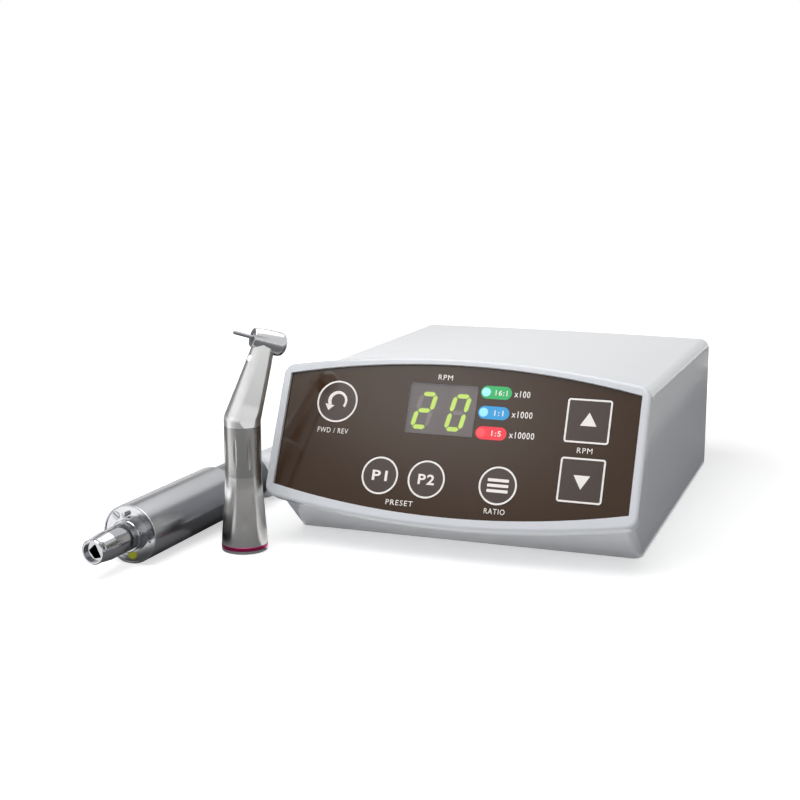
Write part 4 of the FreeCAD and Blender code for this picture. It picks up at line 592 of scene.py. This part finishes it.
class MICROMOTOR_OT_stage(bpy.types.Operator):
    """Camera, white floor, plain room, soft lamps and the grey cards that metal mirrors."""

    bl_idname = "micromotor.stage"
    bl_label = "Stage"

    def execute(self, context):
        context.scene.view_settings.view_transform = "Standard"
        self.make_camera(context.scene)
        self.make_sheet("floor", (0, 0, -FLOOR_DROP), (FLOOR_SIZE, FLOOR_SIZE), self.floor_paper())
        self.make_room(context.scene)
        for lamp in LAMPS:
            self.make_lamp(*lamp)
        for card in CARDS:
            self.make_card(*card)
        return {"FINISHED"}

    def make_camera(self, scene):
        deselect()
        bpy.ops.object.camera_add(
            location=CAMERA_PLACE, rotation=[math.radians(angle) for angle in CAMERA_TURN]
        )
        camera = bpy.context.object
        camera.data.sensor_width = SENSOR
        camera.data.lens = CAMERA_LENS
        camera.data.clip_start = CAMERA_NEAR
        scene.camera = camera

    def make_sheet(self, name, at, size, material, upright=False):
        """A flat sheet on the stage; an upright one stands across the X axis."""
        deselect()
        bpy.ops.mesh.primitive_plane_add(size=1, location=at)
        sheet = bpy.context.object
        sheet.name = name
        sheet.scale = (*size, 1)
        sheet.rotation_euler.y = math.pi / 2 if upright else 0.0
        bpy.ops.object.transform_apply(location=True, rotation=True, scale=True)
        sheet.data.materials.append(material)
        return sheet

    def seen(self, tree):
        """1 for what the camera sees, straight or by gloss and glass, and 0 for light on the set."""
        path = add(tree, "LightPath").outputs
        gloss = add(tree, "Math", {0: path["Is Camera Ray"], 1: path["Is Glossy Ray"]}, operation="MAXIMUM")
        glass = add(
            tree, "Math", {0: gloss.outputs[0], 1: path["Is Transmission Ray"]}, operation="MAXIMUM"
        )
        return glass.outputs[0]

    def floor_paper(self):
        """Seamless white paper: matt, and white all the way back, but it keeps the set's shadow."""
        material, tree, shader, place = start_material(
            "studio_paper_matt", Roughness=0.9, Specular_IOR_Level=0.1
        )
        tone = clouded(tree, place, 0.8, 2.0, "#E8E8E8", "#E4E4E4")[1]
        away = add(tree, "VectorMath", {0: place}, operation="LENGTH")
        glow = add(
            tree,
            "MapRange",
            {
                "Value": away.outputs["Value"],
                "From Min": WHITE_REACH[0],
                "From Max": WHITE_REACH[1],
                "To Min": looks("stage_looks").paper_glow,
                "To Max": 1.0,
            },
        )
        shown = add(tree, "Math", {0: self.seen(tree), 1: glow.outputs[0]}, operation="MULTIPLY")
        feed(
            tree,
            shader,
            {
                "Base Color": tone,
                "Emission Color": WHITE,
                "Emission Strength": shown.outputs[0],
            },
        )
        return material

    def make_room(self, scene):
        world = bpy.data.worlds.new("plain_room")
        scene.world = world
        world.use_nodes = True
        tree = world.node_tree
        tree.nodes.clear()
        room_light = looks("stage_looks").room_light
        light = add(tree, "Background", {"Color": WHITE, "Strength": room_light})
        white = add(tree, "Background", {"Color": WHITE, "Strength": 1.0})
        mix = add(tree, "MixShader", {0: self.seen(tree), 1: light.outputs[0], 2: white.outputs[0]})
        add(tree, "OutputWorld", {0: mix.outputs[0]})

    def make_lamp(self, name, at, toward, size, radiance):
        deselect()
        bpy.ops.object.light_add(type="AREA", location=at)
        lamp = bpy.context.object
        lamp.name = name
        lamp.data.shape = "RECTANGLE"
        lamp.data.size, lamp.data.size_y = size
        lamp.data.energy = radiance * math.pi * size[0] * size[1] * looks("stage_looks").lamp_level
        lamp.rotation_euler = (Vector(at) - Vector(toward)).to_track_quat("Z", "Y").to_euler()

    def make_card(self, name, low, high, grey, glow):
        """A flat card that shows only in metal and gloss, as the other side of a studio does."""
        low, high = Vector(low), Vector(high)
        span = high - low
        upright = not span.x
        size = (span.z if upright else span.x, span.y)
        card = self.make_sheet(name, (low + high) / 2, size, self.card_board(name, grey, glow), upright)
        for kind in ("camera", "diffuse", "transmission", "volume_scatter", "shadow"):
            setattr(card, f"visible_{kind}", False)

    def card_board(self, name, grey, glow):
        """Grey board, a little mottled; on the ceiling it brightens towards the soft patch."""
        material, tree, shader, place = start_material(f"{name}_grey_board", Roughness=0.9)
        shade = clouded(tree, place, 200.0, 2.0, grey, [0.92 * part for part in linear(grey)])[1]
        centre, radius, strength = CEILING_PATCH
        away = add(tree, "VectorMath", {0: place, 1: centre}, operation="DISTANCE")
        patch = add(
            tree,
            "MapRange",
            {"Value": away.outputs["Value"], "From Max": radius, "To Min": strength, "To Max": glow},
            interpolation_type="SMOOTHSTEP",
        )
        feed(
            tree,
            shader,
            {
                "Base Color": shade,
                "Emission Color": WHITE,
                "Emission Strength": patch.outputs[0],
            },
        )
        return material


class MICROMOTOR_OT_hose(bpy.types.Operator):
    """The silicone hose, from the motor's boot round its coil to the plug at the console."""

    bl_idname = "micromotor.hose"
    bl_label = "Hose"

    def execute(self, context):
        plug_x = middle("hose_plug").x
        points = HOSE_START + self.coil() + [(plug_x, *point) for point in HOSE_END]
        diameter = looks("hose_looks").diameter
        curve = bpy.data.curves.new("hose", "CURVE")
        curve.dimensions = "3D"
        curve.resolution_u = 12
        curve.bevel_depth = diameter / 2
        curve.bevel_resolution = 7
        curve.use_fill_caps = True
        spline = curve.splines.new("NURBS")
        spline.points.add(len(points) - 1)
        for point, place_at in zip(spline.points, points):
            point.co = (*place_at, 1)
        spline.order_u = 3
        spline.use_endpoint_u = True
        hose = bpy.data.objects.new("hose", curve)
        context.scene.collection.objects.link(hose)
        hose.data.materials.append(self.silicone())
        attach(hose, "console")
        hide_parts("hose_run_side", "hose_coil", "hose_run_socket")
        return {"FINISHED"}

    def silicone(self):
        # Extruded silicone rubber: pale grey, soft to the eye, with faint drag lines and dust
        return moulded(
            "silicone_rubber_extruded", "#D3D6D9", "#C8CCD0", 0.45, 0.9, 0.01, IOR=1.41, Sheen_Weight=0.1
        )

    def coil(self):
        """The coil's turns: in on the table, up a layer, and out again."""
        inward = [COIL_OUTER_R - COIL_STEP * i for i in range(COIL_TURNS_IN)]
        innermost = COIL_OUTER_R - COIL_STEP * COIL_TURNS_IN
        points = []
        at = Vector((COIL_X, COIL_Y, COIL_Z))
        forward = 1
        for radius in inward + [innermost] + inward[::-1]:
            centre = at + Vector((forward * radius, 0, 0))
            rise = COIL_PITCH if radius == innermost else 0.0
            # control points stand a little outside the circle that the spline follows
            outside = radius / math.cos(math.pi / (2 * COIL_POINTS))
            for i in range(COIL_POINTS):
                share = (i + 0.5) / COIL_POINTS
                turn = math.pi * share
                x = centre.x - forward * outside * math.cos(turn)
                y = centre.y + forward * outside * math.sin(turn)
                points.append((x, y, at.z + rise * share))
            at = at + Vector((forward * 2 * radius, 0, rise))
            forward = -forward
        return points


class MICROMOTOR_OT_boot(bpy.types.Operator):
    """The soft boot behind the motor, grooved so that it flexes with the hose."""

    bl_idname = "micromotor.boot"
    bl_label = "Hose boot"

    def execute(self, context):
        boot = ring_form(self.rings())
        start, ahead = [Vector(point) for point in HOSE_START[:2]]
        along = (ahead - start).normalized()
        right = along.cross(Vector((0, 0, 1))).normalized()
        lie = frame_matrix(right, along.cross(right), along, start - along * BOOT_LENGTH_MM * MM)
        place(boot, lie @ Matrix.Scale(MM, 4))
        # Moulded silicone: the palest piece of the hose, smooth and soft
        silicone = moulded(
            "silicone_boot_moulded", "#E4E6E8", "#DADDE0", 0.4, 0.8, 0.01, IOR=1.41, Sheen_Weight=0.1
        )
        finish_piece(boot, "boot", silicone, "console")
        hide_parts("hose_boot")
        return {"FINISHED"}

    def rings(self):
        depth = looks("hose_looks").groove_depth / MM
        wide = BOOT_FRONT[-1][1]
        grooves = []
        for at in BOOT_GROOVES_MM:
            for step, drop in GROOVE_SHAPE:
                grooves.append((at + step * GROOVE_WIDTH_MM, wide - depth * drop))
        return [*BOOT_FRONT, *grooves, *BOOT_TAIL]


class MICROMOTOR_OT_console_finish(bpy.types.Operator):
    """Finishes of the console's housing, base and screws."""

    bl_idname = "micromotor.console_finish"
    bl_label = "Console finish"

    def execute(self, context):
        # ABS, moulded in a polished tool: glossy, near white, with a faint orange peel
        paint(self.glossy_abs(), "cover_shell", "front_bezel")
        # ABS, moulded against spark-eroded steel: a fine matt texture
        paint(moulded("abs_spark_textured", "#C4C8CC", "#B9BDC2", 0.55, 0.5, 0.03, IOR=1.54), "base_plate")
        # Nitrile rubber, moulded: matt black
        paint(moulded("nitrile_rubber_pad", "#1C1C1D", "#242425", 0.8, 0.6, 0.05, IOR=1.52), "rubber_pads")
        # Steel, zinc plated: bright with a dull bloom
        paint(polished("steel_zinc_plated", "#BEC0C4", "#A0A2A6", 0.28), "case_screws", "plate_screws")
        return {"FINISHED"}

    def glossy_abs(self):
        """Housing plastic in the chosen colour, with a barely darker cloud."""
        light = list(looks("console_looks").housing)
        dark = [0.96 * part for part in light[:3]] + [1.0]
        return moulded("abs_glossy_white", light, dark, 0.1, 2.5, 0.0015, IOR=1.54)


class MICROMOTOR_OT_panel_finish(bpy.types.Operator):
    """Finishes of the control panel's film, keys, display and lamps."""

    bl_idname = "micromotor.panel_finish"
    bl_label = "Panel finish"

    def execute(self, context):
        # Polycarbonate film, printed dark brown on its back: deep and glossy
        film = moulded("polycarbonate_panel_film", "#412C1A", "#3D2918", 0.06, 1.8, 0.0006, IOR=1.585)
        paint(film, "control_panel")
        # The same film over the keys, printed a tone lighter and greyer
        cap = moulded("polycarbonate_key_film", "#50443F", "#4C403C", 0.12, 1.8, 0.0006, IOR=1.585)
        paint(cap, *KEY_NODES.values())
        paint(self.smoked_acrylic(), "display_window")
        paint(self.display_block(), "display_module")
        paint(self.lit_epoxy(), "lit_segments")
        for colour, face, deep, dot in (
            ("green", "#3DB36B", "#33A35F", "#A4ECF4"),
            ("blue", "#3FA0D8", "#3592CC", "#9AE4FF"),
            ("red", "#F04550", "#E63A46", "#FF5A62"),
        ):
            paint(self.lamp_lens(colour, face, deep, dot), f"ratio_lamp_{colour}")
        return {"FINISHED"}

    def smoked_acrylic(self):
        """Cast acrylic sheet with a smoke tint: clear and polished."""
        material, tree, shader, place = start_material(
            "acrylic_smoked_cast", Transmission_Weight=1.0, IOR=1.49
        )
        haze, tone = clouded(tree, place, 6.0, 2.0, "#F6F3F3", "#F0EDED")
        gloss = add(tree, "MapRange", {"Value": haze, "To Min": 0.03, "To Max": 0.07})
        feed(tree, shader, {"Base Color": tone, "Roughness": gloss.outputs[0]})
        return material

    def display_block(self):
        """Cast epoxy display: a grey face whose unlit bars show a tone lighter."""
        material, tree, shader, place = start_material("epoxy_display_cast", Roughness=0.45, IOR=1.55)
        out = add(tree, "VectorMath", {0: place, 1: PANEL_OUT}, operation="DOT_PRODUCT")
        low, high = panel_box("display_module")
        face = PANEL.translation.dot(PANEL_OUT) + (high.z - BAR_TOP_MM) * MM
        raised = add(tree, "Math", {0: out.outputs["Value"], 1: face}, operation="GREATER_THAN")
        body = clouded(tree, place, 1.5, 2.0, "#665F5F", "#6A6363")[1]
        tone = add(
            tree,
            "Mix",
            {0: raised.outputs[0], MIX_A: body, MIX_B: linear("#878282")},
            data_type="RGBA",
        )
        feed(tree, shader, {"Base Color": tone.outputs[MIX_OUT]})
        return material

    def lit_epoxy(self):
        """Diffusing epoxy over a lit diode: glows yellow-green, a touch paler where it is thin."""
        material, tree, shader, place = start_material(
            "epoxy_segment_lit", Emission_Strength=0.75, Roughness=0.4, IOR=1.55
        )
        glow = clouded(tree, place, 2.0, 2.0, "#C6EA5E", "#B9DE4C")[1]
        feed(tree, shader, {"Base Color": linear("#8FA846"), "Emission Color": glow})
        return material

    def lamp_lens(self, colour, face, deep, dot):
        """Moulded acrylic lens with a small lamp under its left end, which shows paler."""
        material, tree, shader, place = start_material(
            f"acrylic_lens_{colour}", Emission_Strength=0.25, Roughness=0.2, IOR=1.49
        )
        low, high = panel_box(f"ratio_lamp_{colour}")
        radius = (high.y - low.y) / 2
        lamp = PANEL @ (Vector((low.x + radius - DOT_SHIFT_MM, low.y + radius, 0)) * MM)
        away = add(tree, "VectorMath", {0: place, 1: lamp}, operation="DISTANCE")
        near = add(
            tree,
            "MapRange",
            {
                "Value": away.outputs["Value"],
                "From Min": DOT_EDGE_MM[0] * MM,
                "From Max": DOT_EDGE_MM[1] * MM,
                "To Min": 1.0,
                "To Max": 0.0,
            },
        )
        body = clouded(tree, place, 1.5, 2.0, face, deep)[1]
        tone = add(
            tree, "Mix", {0: near.outputs[0], MIX_A: body, MIX_B: linear(dot)}, data_type="RGBA"
        )
        feed(tree, shader, {"Base Color": tone.outputs[MIX_OUT], "Emission Color": tone.outputs[MIX_OUT]})
        return material


class MICROMOTOR_OT_inner_finish(bpy.types.Operator):
    """Finishes of what the console and motor hold inside."""

    bl_idname = "micromotor.inner_finish"
    bl_label = "Inner finish"

    def execute(self, context):
        # Glass-epoxy laminate under green solder mask: satin, with the weave just showing
        laminate = moulded("glass_epoxy_laminate", "#1F5A35", "#245F3A", 0.35, 0.4, 0.02, IOR=1.55)
        paint(laminate, "key_board", "main_board")
        # Nylon, moulded: dull black
        paint(moulded("nylon_switch_moulded", "#141414", "#1B1B1B", 0.5, 0.4, 0.02, IOR=1.53), "key_switches")
        # Silicon steel laminations under varnish: dark, with a low sheen
        core = blasted("silicon_steel_varnished", "#56575A", "#3E3F42", 0.45, 0.5, 0.02)
        paint(core, "power_supply", "stator_core")
        # Copper wire under enamel: warm, glossy strands
        paint(blasted("copper_wire_enamelled", "#B4703F", "#8E4F28", 0.3, 0.35, 0.04), "stator_winding")
        # Sintered neodymium, nickel plated: smooth and slightly dark
        paint(polished("neodymium_nickel_plated", "#B4B5B6", "#9D9EA0", 0.2), "rotor_magnet")
        return {"FINISHED"}


class MICROMOTOR_OT_rear_finish(bpy.types.Operator):
    """Finishes of the sockets, switch and plug at the back of the console."""

    bl_idname = "micromotor.rear_finish"
    bl_label = "Rear finish"

    def execute(self, context):
        # Nylon, moulded against fine texture: dull black
        nylon = moulded("nylon_socket_moulded", "#17181A", "#1E1F21", 0.42, 0.5, 0.02, IOR=1.53)
        paint(nylon, "power_inlet", "switch_frame", "pedal_socket", "power_rocker", "hose_connector")
        # Brass, turned and nickel plated: bright and a little warm
        paint(polished("brass_nickel_plated", "#CBC8C1", "#B7B4AE", 0.16), "hose_socket", "hose_plug")
        return {"FINISHED"}


class MICROMOTOR_OT_motor_finish(bpy.types.Operator):
    """Finishes of the motor's sleeve, face, nose and shaft."""

    bl_idname = "micromotor.motor_finish"
    bl_label = "Motor finish"

    def execute(self, context):
        # Stainless steel, turned and then bead blasted: an even satin
        paint(blasted("stainless_bead_blasted", "#B2B3B6", "#A8A9AC", 0.24, 0.7, 0.001), "motor_sleeve")
        # The same steel with a duller blast, its colour painted darker as shade on the cap behind the sleeve
        paint(blasted("stainless_cap_blasted", "#858689", "#7C7D80", 0.3, 0.7, 0.001), "rear_cap")
        # Stainless steel, faced on a lathe: bright rings round the centre
        faced = turned("stainless_faced", "#C8C9CB", "#BCBDC0", 0.16, 0.25, 0.0006, "rotor")
        paint(faced, "front_plate")
        # Steel under hard chrome, polished: a mirror with fine hoops
        chrome = turned("chrome_hard_polished", "#B4B5B8", "#ADAEB1", 0.09, 0.6, 0.0004, "rotor")
        paint(chrome, "coupling_nose")
        # Nitrile rubber ring, moulded: soft black
        paint(moulded("nitrile_ring_moulded", "#141414", "#1C1C1C", 0.5, 0.5, 0.02, IOR=1.52), "nose_ring")
        # Bearing and shaft steel, ground: fine and bright
        ground = polished("bearing_steel_ground", "#B4B5B7", "#9C9DA0", 0.22)
        paint(ground, "motor_bearings", "spindle_bearings", "button_spring", "locating_pin")
        paint(ground, "input_shaft", "neck_shaft", "chuck")
        # Steel coupling seen down the nose, painted nearly black with a green cast as the shade inside the nose's
        # opening
        paint(turned("steel_blacked_shaft", "#16302B", "#0E2420", 0.35, 0.3, 0.001, "rotor"), "motor_shaft")
        # Polycarbonate lens, moulded yellow: clear and bright
        lens = moulded("polycarbonate_lens_yellow", "#C6CB02", "#BCC000", 0.4, 1.0, 0.003, IOR=1.585)
        paint(lens, "motor_lamp")
        return {"FINISHED"}


class MICROMOTOR_OT_handpiece_finish(bpy.types.Operator):
    """Finishes of the handpiece's handle, neck, head, rings and bur."""

    bl_idname = "micromotor.handpiece_finish"
    bl_label = "Handpiece finish"

    def execute(self, context):
        paint(self.coated_titanium(), "handle_sleeve")
        # Titanium, blasted and left dull: the sleeve inside the handle
        paint(blasted("titanium_cartridge_blasted", "#9C9B99", "#8F8E8C", 0.3, 0.3, 0.001), "gear_cartridge")
        # Titanium, blasted and then burnished: the brightest satin of the set
        paint(blasted("titanium_neck_burnished", "#DCDDDC", "#D4D5D4", 0.3, 0.7, 0.001), "neck_sleeve")
        # Steel under polished chrome: a mirror
        head = polished("chrome_head_polished", "#C8C9CA", "#BFC0C2", 0.2)
        paint(head, "head_shell", "head_button", "end_ring")
        # Tungsten carbide, ground: grey with a dark sparkle
        paint(turned("tungsten_carbide_ground", "#A2A3A6", "#8E8F92", 0.3, 0.6, 0.001, "spindle"), "bur")
        # Aluminium, anodised crimson: a metal colour under a clear skin
        ring = turned("aluminium_anodised_crimson", "#B8336A", "#A62A5C", 0.26, 0.3, 0.0006, "input")
        paint(ring, "colour_ring")
        paint(self.light_guide(), "light_window")
        return {"FINISHED"}

    def coated_titanium(self):
        """Titanium, blasted under a clear coat: satin, a little rougher on the grip, whose colour is painted
        darker than the flare's as shade.
        """
        material, tree, shader, place = start_material("titanium_blasted_coated", Metallic=1.0)
        grit, flare = clouded(tree, place, 0.3, 3.0, "#CFCECB", "#C6C5C2")
        height = add(tree, "SeparateXYZ", {0: place})
        low, high = (edge * MM for edge in GRIP_EDGE_MM)
        grip = add(tree, "MapRange", {"Value": height.outputs["Z"], "From Min": low, "From Max": high})
        # Painted shade: above the edge the colour turns to the darker grey of the grip
        tone = add(
            tree, "Mix", {0: grip.outputs[0], MIX_A: flare, MIX_B: linear("#B0AFAD")}, data_type="RGBA"
        )
        satin = add(tree, "MapRange", {"Value": grip.outputs[0], "To Min": 0.2, "To Max": 0.26})
        pits = add(tree, "Bump", {"Height": grit, "Distance": 0.001 * MM})
        feed(
            tree,
            shader,
            {"Base Color": tone.outputs[MIX_OUT], "Roughness": satin.outputs[0], "Normal": pits.outputs[0]},
        )
        return material

    def light_guide(self):
        """Fused glass rod with a polished end: slightly milky, with a painted glow that stands in for the bright
        glint on its end.
        """
        # The emission is painted light: a glow for the glint on the rod's end
        material, tree, shader, place = start_material(
            "glass_rod_polished", Roughness=0.08, IOR=1.52, Emission_Strength=0.7
        )
        tone = clouded(tree, place, 0.5, 2.0, "#FAFCFD", "#EEF2F5")[1]
        feed(tree, shader, {"Base Color": tone, "Emission Color": tone})
        return material


def screen_ink():
    """Screen-printed white ink: matt and a little uneven. Made once and shared by all the prints."""
    name = "ink_screen_printed_white"
    if name in bpy.data.materials:
        return bpy.data.materials[name]
    return moulded(name, "#FFFAF6", "#F9F3EE", 0.5, 1.2, 0.002, IOR=1.45)


class MICROMOTOR_OT_panel_print(bpy.types.Operator):
    """White print on the control panel: labels under the keys and beside the lamps."""

    bl_idname = "micromotor.panel_print"
    bl_label = "Panel print"

    def execute(self, context):
        height = looks("console_looks").letter_height / MM
        reverse = key_centre("reverse")
        preset = (key_centre("memory1") + key_centre("memory2")) / 2
        select = key_centre("select")
        speed = (key_centre("speed_up") + key_centre("speed_down")) / 2
        window_low, window_high = panel_box("display_window")
        window_x = (window_low.x + window_high.x) / 2
        # words, their middle across and up, and their width
        labels = (
            ("RPM", window_x, window_high.y + 2.7, 6.2),
            ("FWD / REV", reverse.x, reverse.y - 12.5, 13.6),
            ("PRESET", preset.x, preset.y - 10.6, 11.6),
            ("RATIO", select.x, select.y - 10.5, 8.6),
            ("RPM", speed.x, speed.y, 6.2),
        )
        prints = [text_print(words, x, y, height, width) for words, x, y, width in labels]
        for colour, _, _, words, width in LAMP_WORDS:
            low, high = panel_box(f"ratio_lamp_{colour}")
            x, y = high.x + 1.1 + width / 2, (low.y + high.y) / 2
            prints.append(text_print(words, x, y, MULTIPLIER_LETTER_MM, width, LAMP_WEIGHT_MM))
        finish_piece(to_panel_face(prints), "panel_print", screen_ink(), "console")
        return {"FINISHED"}


class MICROMOTOR_OT_key_print(bpy.types.Operator):
    """Outlines and symbols on the six keys; each rides with its own key."""

    bl_idname = "micromotor.key_print"
    bl_label = "Key print"

    def execute(self, context):
        width = looks("console_looks").outline_width / MM
        for body in KEY_BODIES:
            centre = key_centre(body)
            low, high = panel_box(KEY_NODES[body])
            side = high.x - low.x - 2 * KEY_FLANGE_MM
            if body.startswith("speed"):
                edge = flat_square(centre.x, centre.y, side, side, SQUARE_CORNER_MM)
            else:
                edge = flat_disc(centre.x, centre.y, side / 2)
            prints = [outline_print(edge, width), *self.symbol(body, centre.x, centre.y)]
            finish_piece(to_panel_face(prints), f"{body}_key_print", screen_ink(), body)
        return {"FINISHED"}

    def symbol(self, body, x, y):
        """A key's own sign, in millimetres: letters, bars, or an arrow."""
        if body == "memory1":
            return [text_print("P1", x, y, KEY_LETTER_MM, 6.6, KEY_WEIGHT_MM)]
        if body == "memory2":
            return [text_print("P2", x, y, KEY_LETTER_MM, 7.0, KEY_WEIGHT_MM)]
        if body == "select":
            return [raise_print(flat_square(x, y + step, 8.8, 1.25, 0.3)) for step in (-2.2, 0.0, 2.2)]
        if body == "speed_up":
            return [triangle_print(x + 0.2, y + 0.8, 6.7, 5.6)]
        if body == "speed_down":
            return [triangle_print(x + 0.1, y - 0.85, 6.7, 5.7, up=False)]
        arrow = triangle_print(0, 0, 4.2, 2.6, up=False)
        place(arrow, Matrix.Translation((x - 3.3, y - 2.75, 0)) @ Matrix.Rotation(math.radians(-8), 4, "Z"))
        return [arc_print(x + 0.1, y + 0.25, 3.65, 1.25, -38, 212, 0.25), arrow]


class MICROMOTOR_OT_lamp_print(bpy.types.Operator):
    """White gear ratios on the three lamps."""

    bl_idname = "micromotor.lamp_print"
    bl_label = "Lamp print"

    def execute(self, context):
        prints = []
        for colour, words, width, _, _ in LAMP_WORDS:
            low, high = panel_box(f"ratio_lamp_{colour}")
            x, y = high.x - 4.3, (low.y + high.y) / 2
            prints.append(text_print(words, x, y, RATIO_LETTER_MM, width, LAMP_WEIGHT_MM))
        finish_piece(to_panel_face(prints), "lamp_print", screen_ink(), "console")
        return {"FINISHED"}


class MICROMOTOR_OT_rocker_print(bpy.types.Operator):
    """Plain on and off marks on the two halves of the rocker at the back."""

    bl_idname = "micromotor.rocker_print"
    bl_label = "Rocker print"

    def execute(self, context):
        bar = place(raise_print(flat_square(0, 0, 0.8, 3.4, 0.2)), self.half(upper=True))
        ring = place(outline_print(flat_disc(0, 0, 1.8), 0.7), self.half(upper=False))
        finish_piece(join_pieces([bar, ring]), "rocker_print", screen_ink(), "rocker")
        return {"FINISHED"}

    def half(self, upper):
        """Lays a print made flat in millimetres on the upper or lower half of the rocker's face."""
        pivot = child_joint("rocker")["pos_m"][2]
        faces = [
            face
            for face in NODES["power_rocker"].data.polygons
            if face.normal.y > 0.8 and (face.center.z > pivot) == upper
        ]
        # the largest face gives the plane, so that the rounded edges are left out
        out = max(faces, key=lambda face: face.area).normal.copy()
        flat = [face for face in faces if face.normal.dot(out) > 0.9999]
        area = sum(face.area for face in flat)
        centre = sum((face.center * face.area for face in flat), Vector()) / area
        right = Vector((-1, 0, 0))
        return frame_matrix(right, out.cross(right), out, centre) @ Matrix.Scale(MM, 4)


OPERATORS = (
    MICROMOTOR_OT_stage,
    MICROMOTOR_OT_hose,
    MICROMOTOR_OT_boot,
    MICROMOTOR_OT_console_finish,
    MICROMOTOR_OT_panel_finish,
    MICROMOTOR_OT_inner_finish,
    MICROMOTOR_OT_rear_finish,
    MICROMOTOR_OT_motor_finish,
    MICROMOTOR_OT_handpiece_finish,
    MICROMOTOR_OT_panel_print,
    MICROMOTOR_OT_key_print,
    MICROMOTOR_OT_lamp_print,
    MICROMOTOR_OT_rocker_print,
)


class MICROMOTOR_PT_pieces(bpy.types.Panel):
    """Lists the set's pieces in the sidebar."""

    bl_idname = "MICROMOTOR_PT_pieces"
    bl_label = "Dental micromotor"
    bl_space_type = "VIEW_3D"
    bl_region_type = "UI"
    bl_category = "Micromotor"

    def draw(self, context):
        for operator in OPERATORS:
            self.layout.operator(operator.bl_idname)


CLASSES = (ConsoleLooks, HoseLooks, StageLooks, *OPERATORS, MICROMOTOR_PT_pieces)


def register():
    for made in CLASSES:
        bpy.utils.register_class(made)
    bpy.types.Scene.console_looks = PointerProperty(type=ConsoleLooks)
    bpy.types.Scene.hose_looks = PointerProperty(type=HoseLooks)
    bpy.types.Scene.stage_looks = PointerProperty(type=StageLooks)


def unregister():
    del bpy.types.Scene.stage_looks
    del bpy.types.Scene.hose_looks
    del bpy.types.Scene.console_looks
    for made in reversed(CLASSES):
        bpy.utils.unregister_class(made)


def main():
    register()
    for operator in OPERATORS:
        group, name = operator.bl_idname.split(".")
        getattr(getattr(bpy.ops, group), name)()


if __name__ == "__main__":
    main()
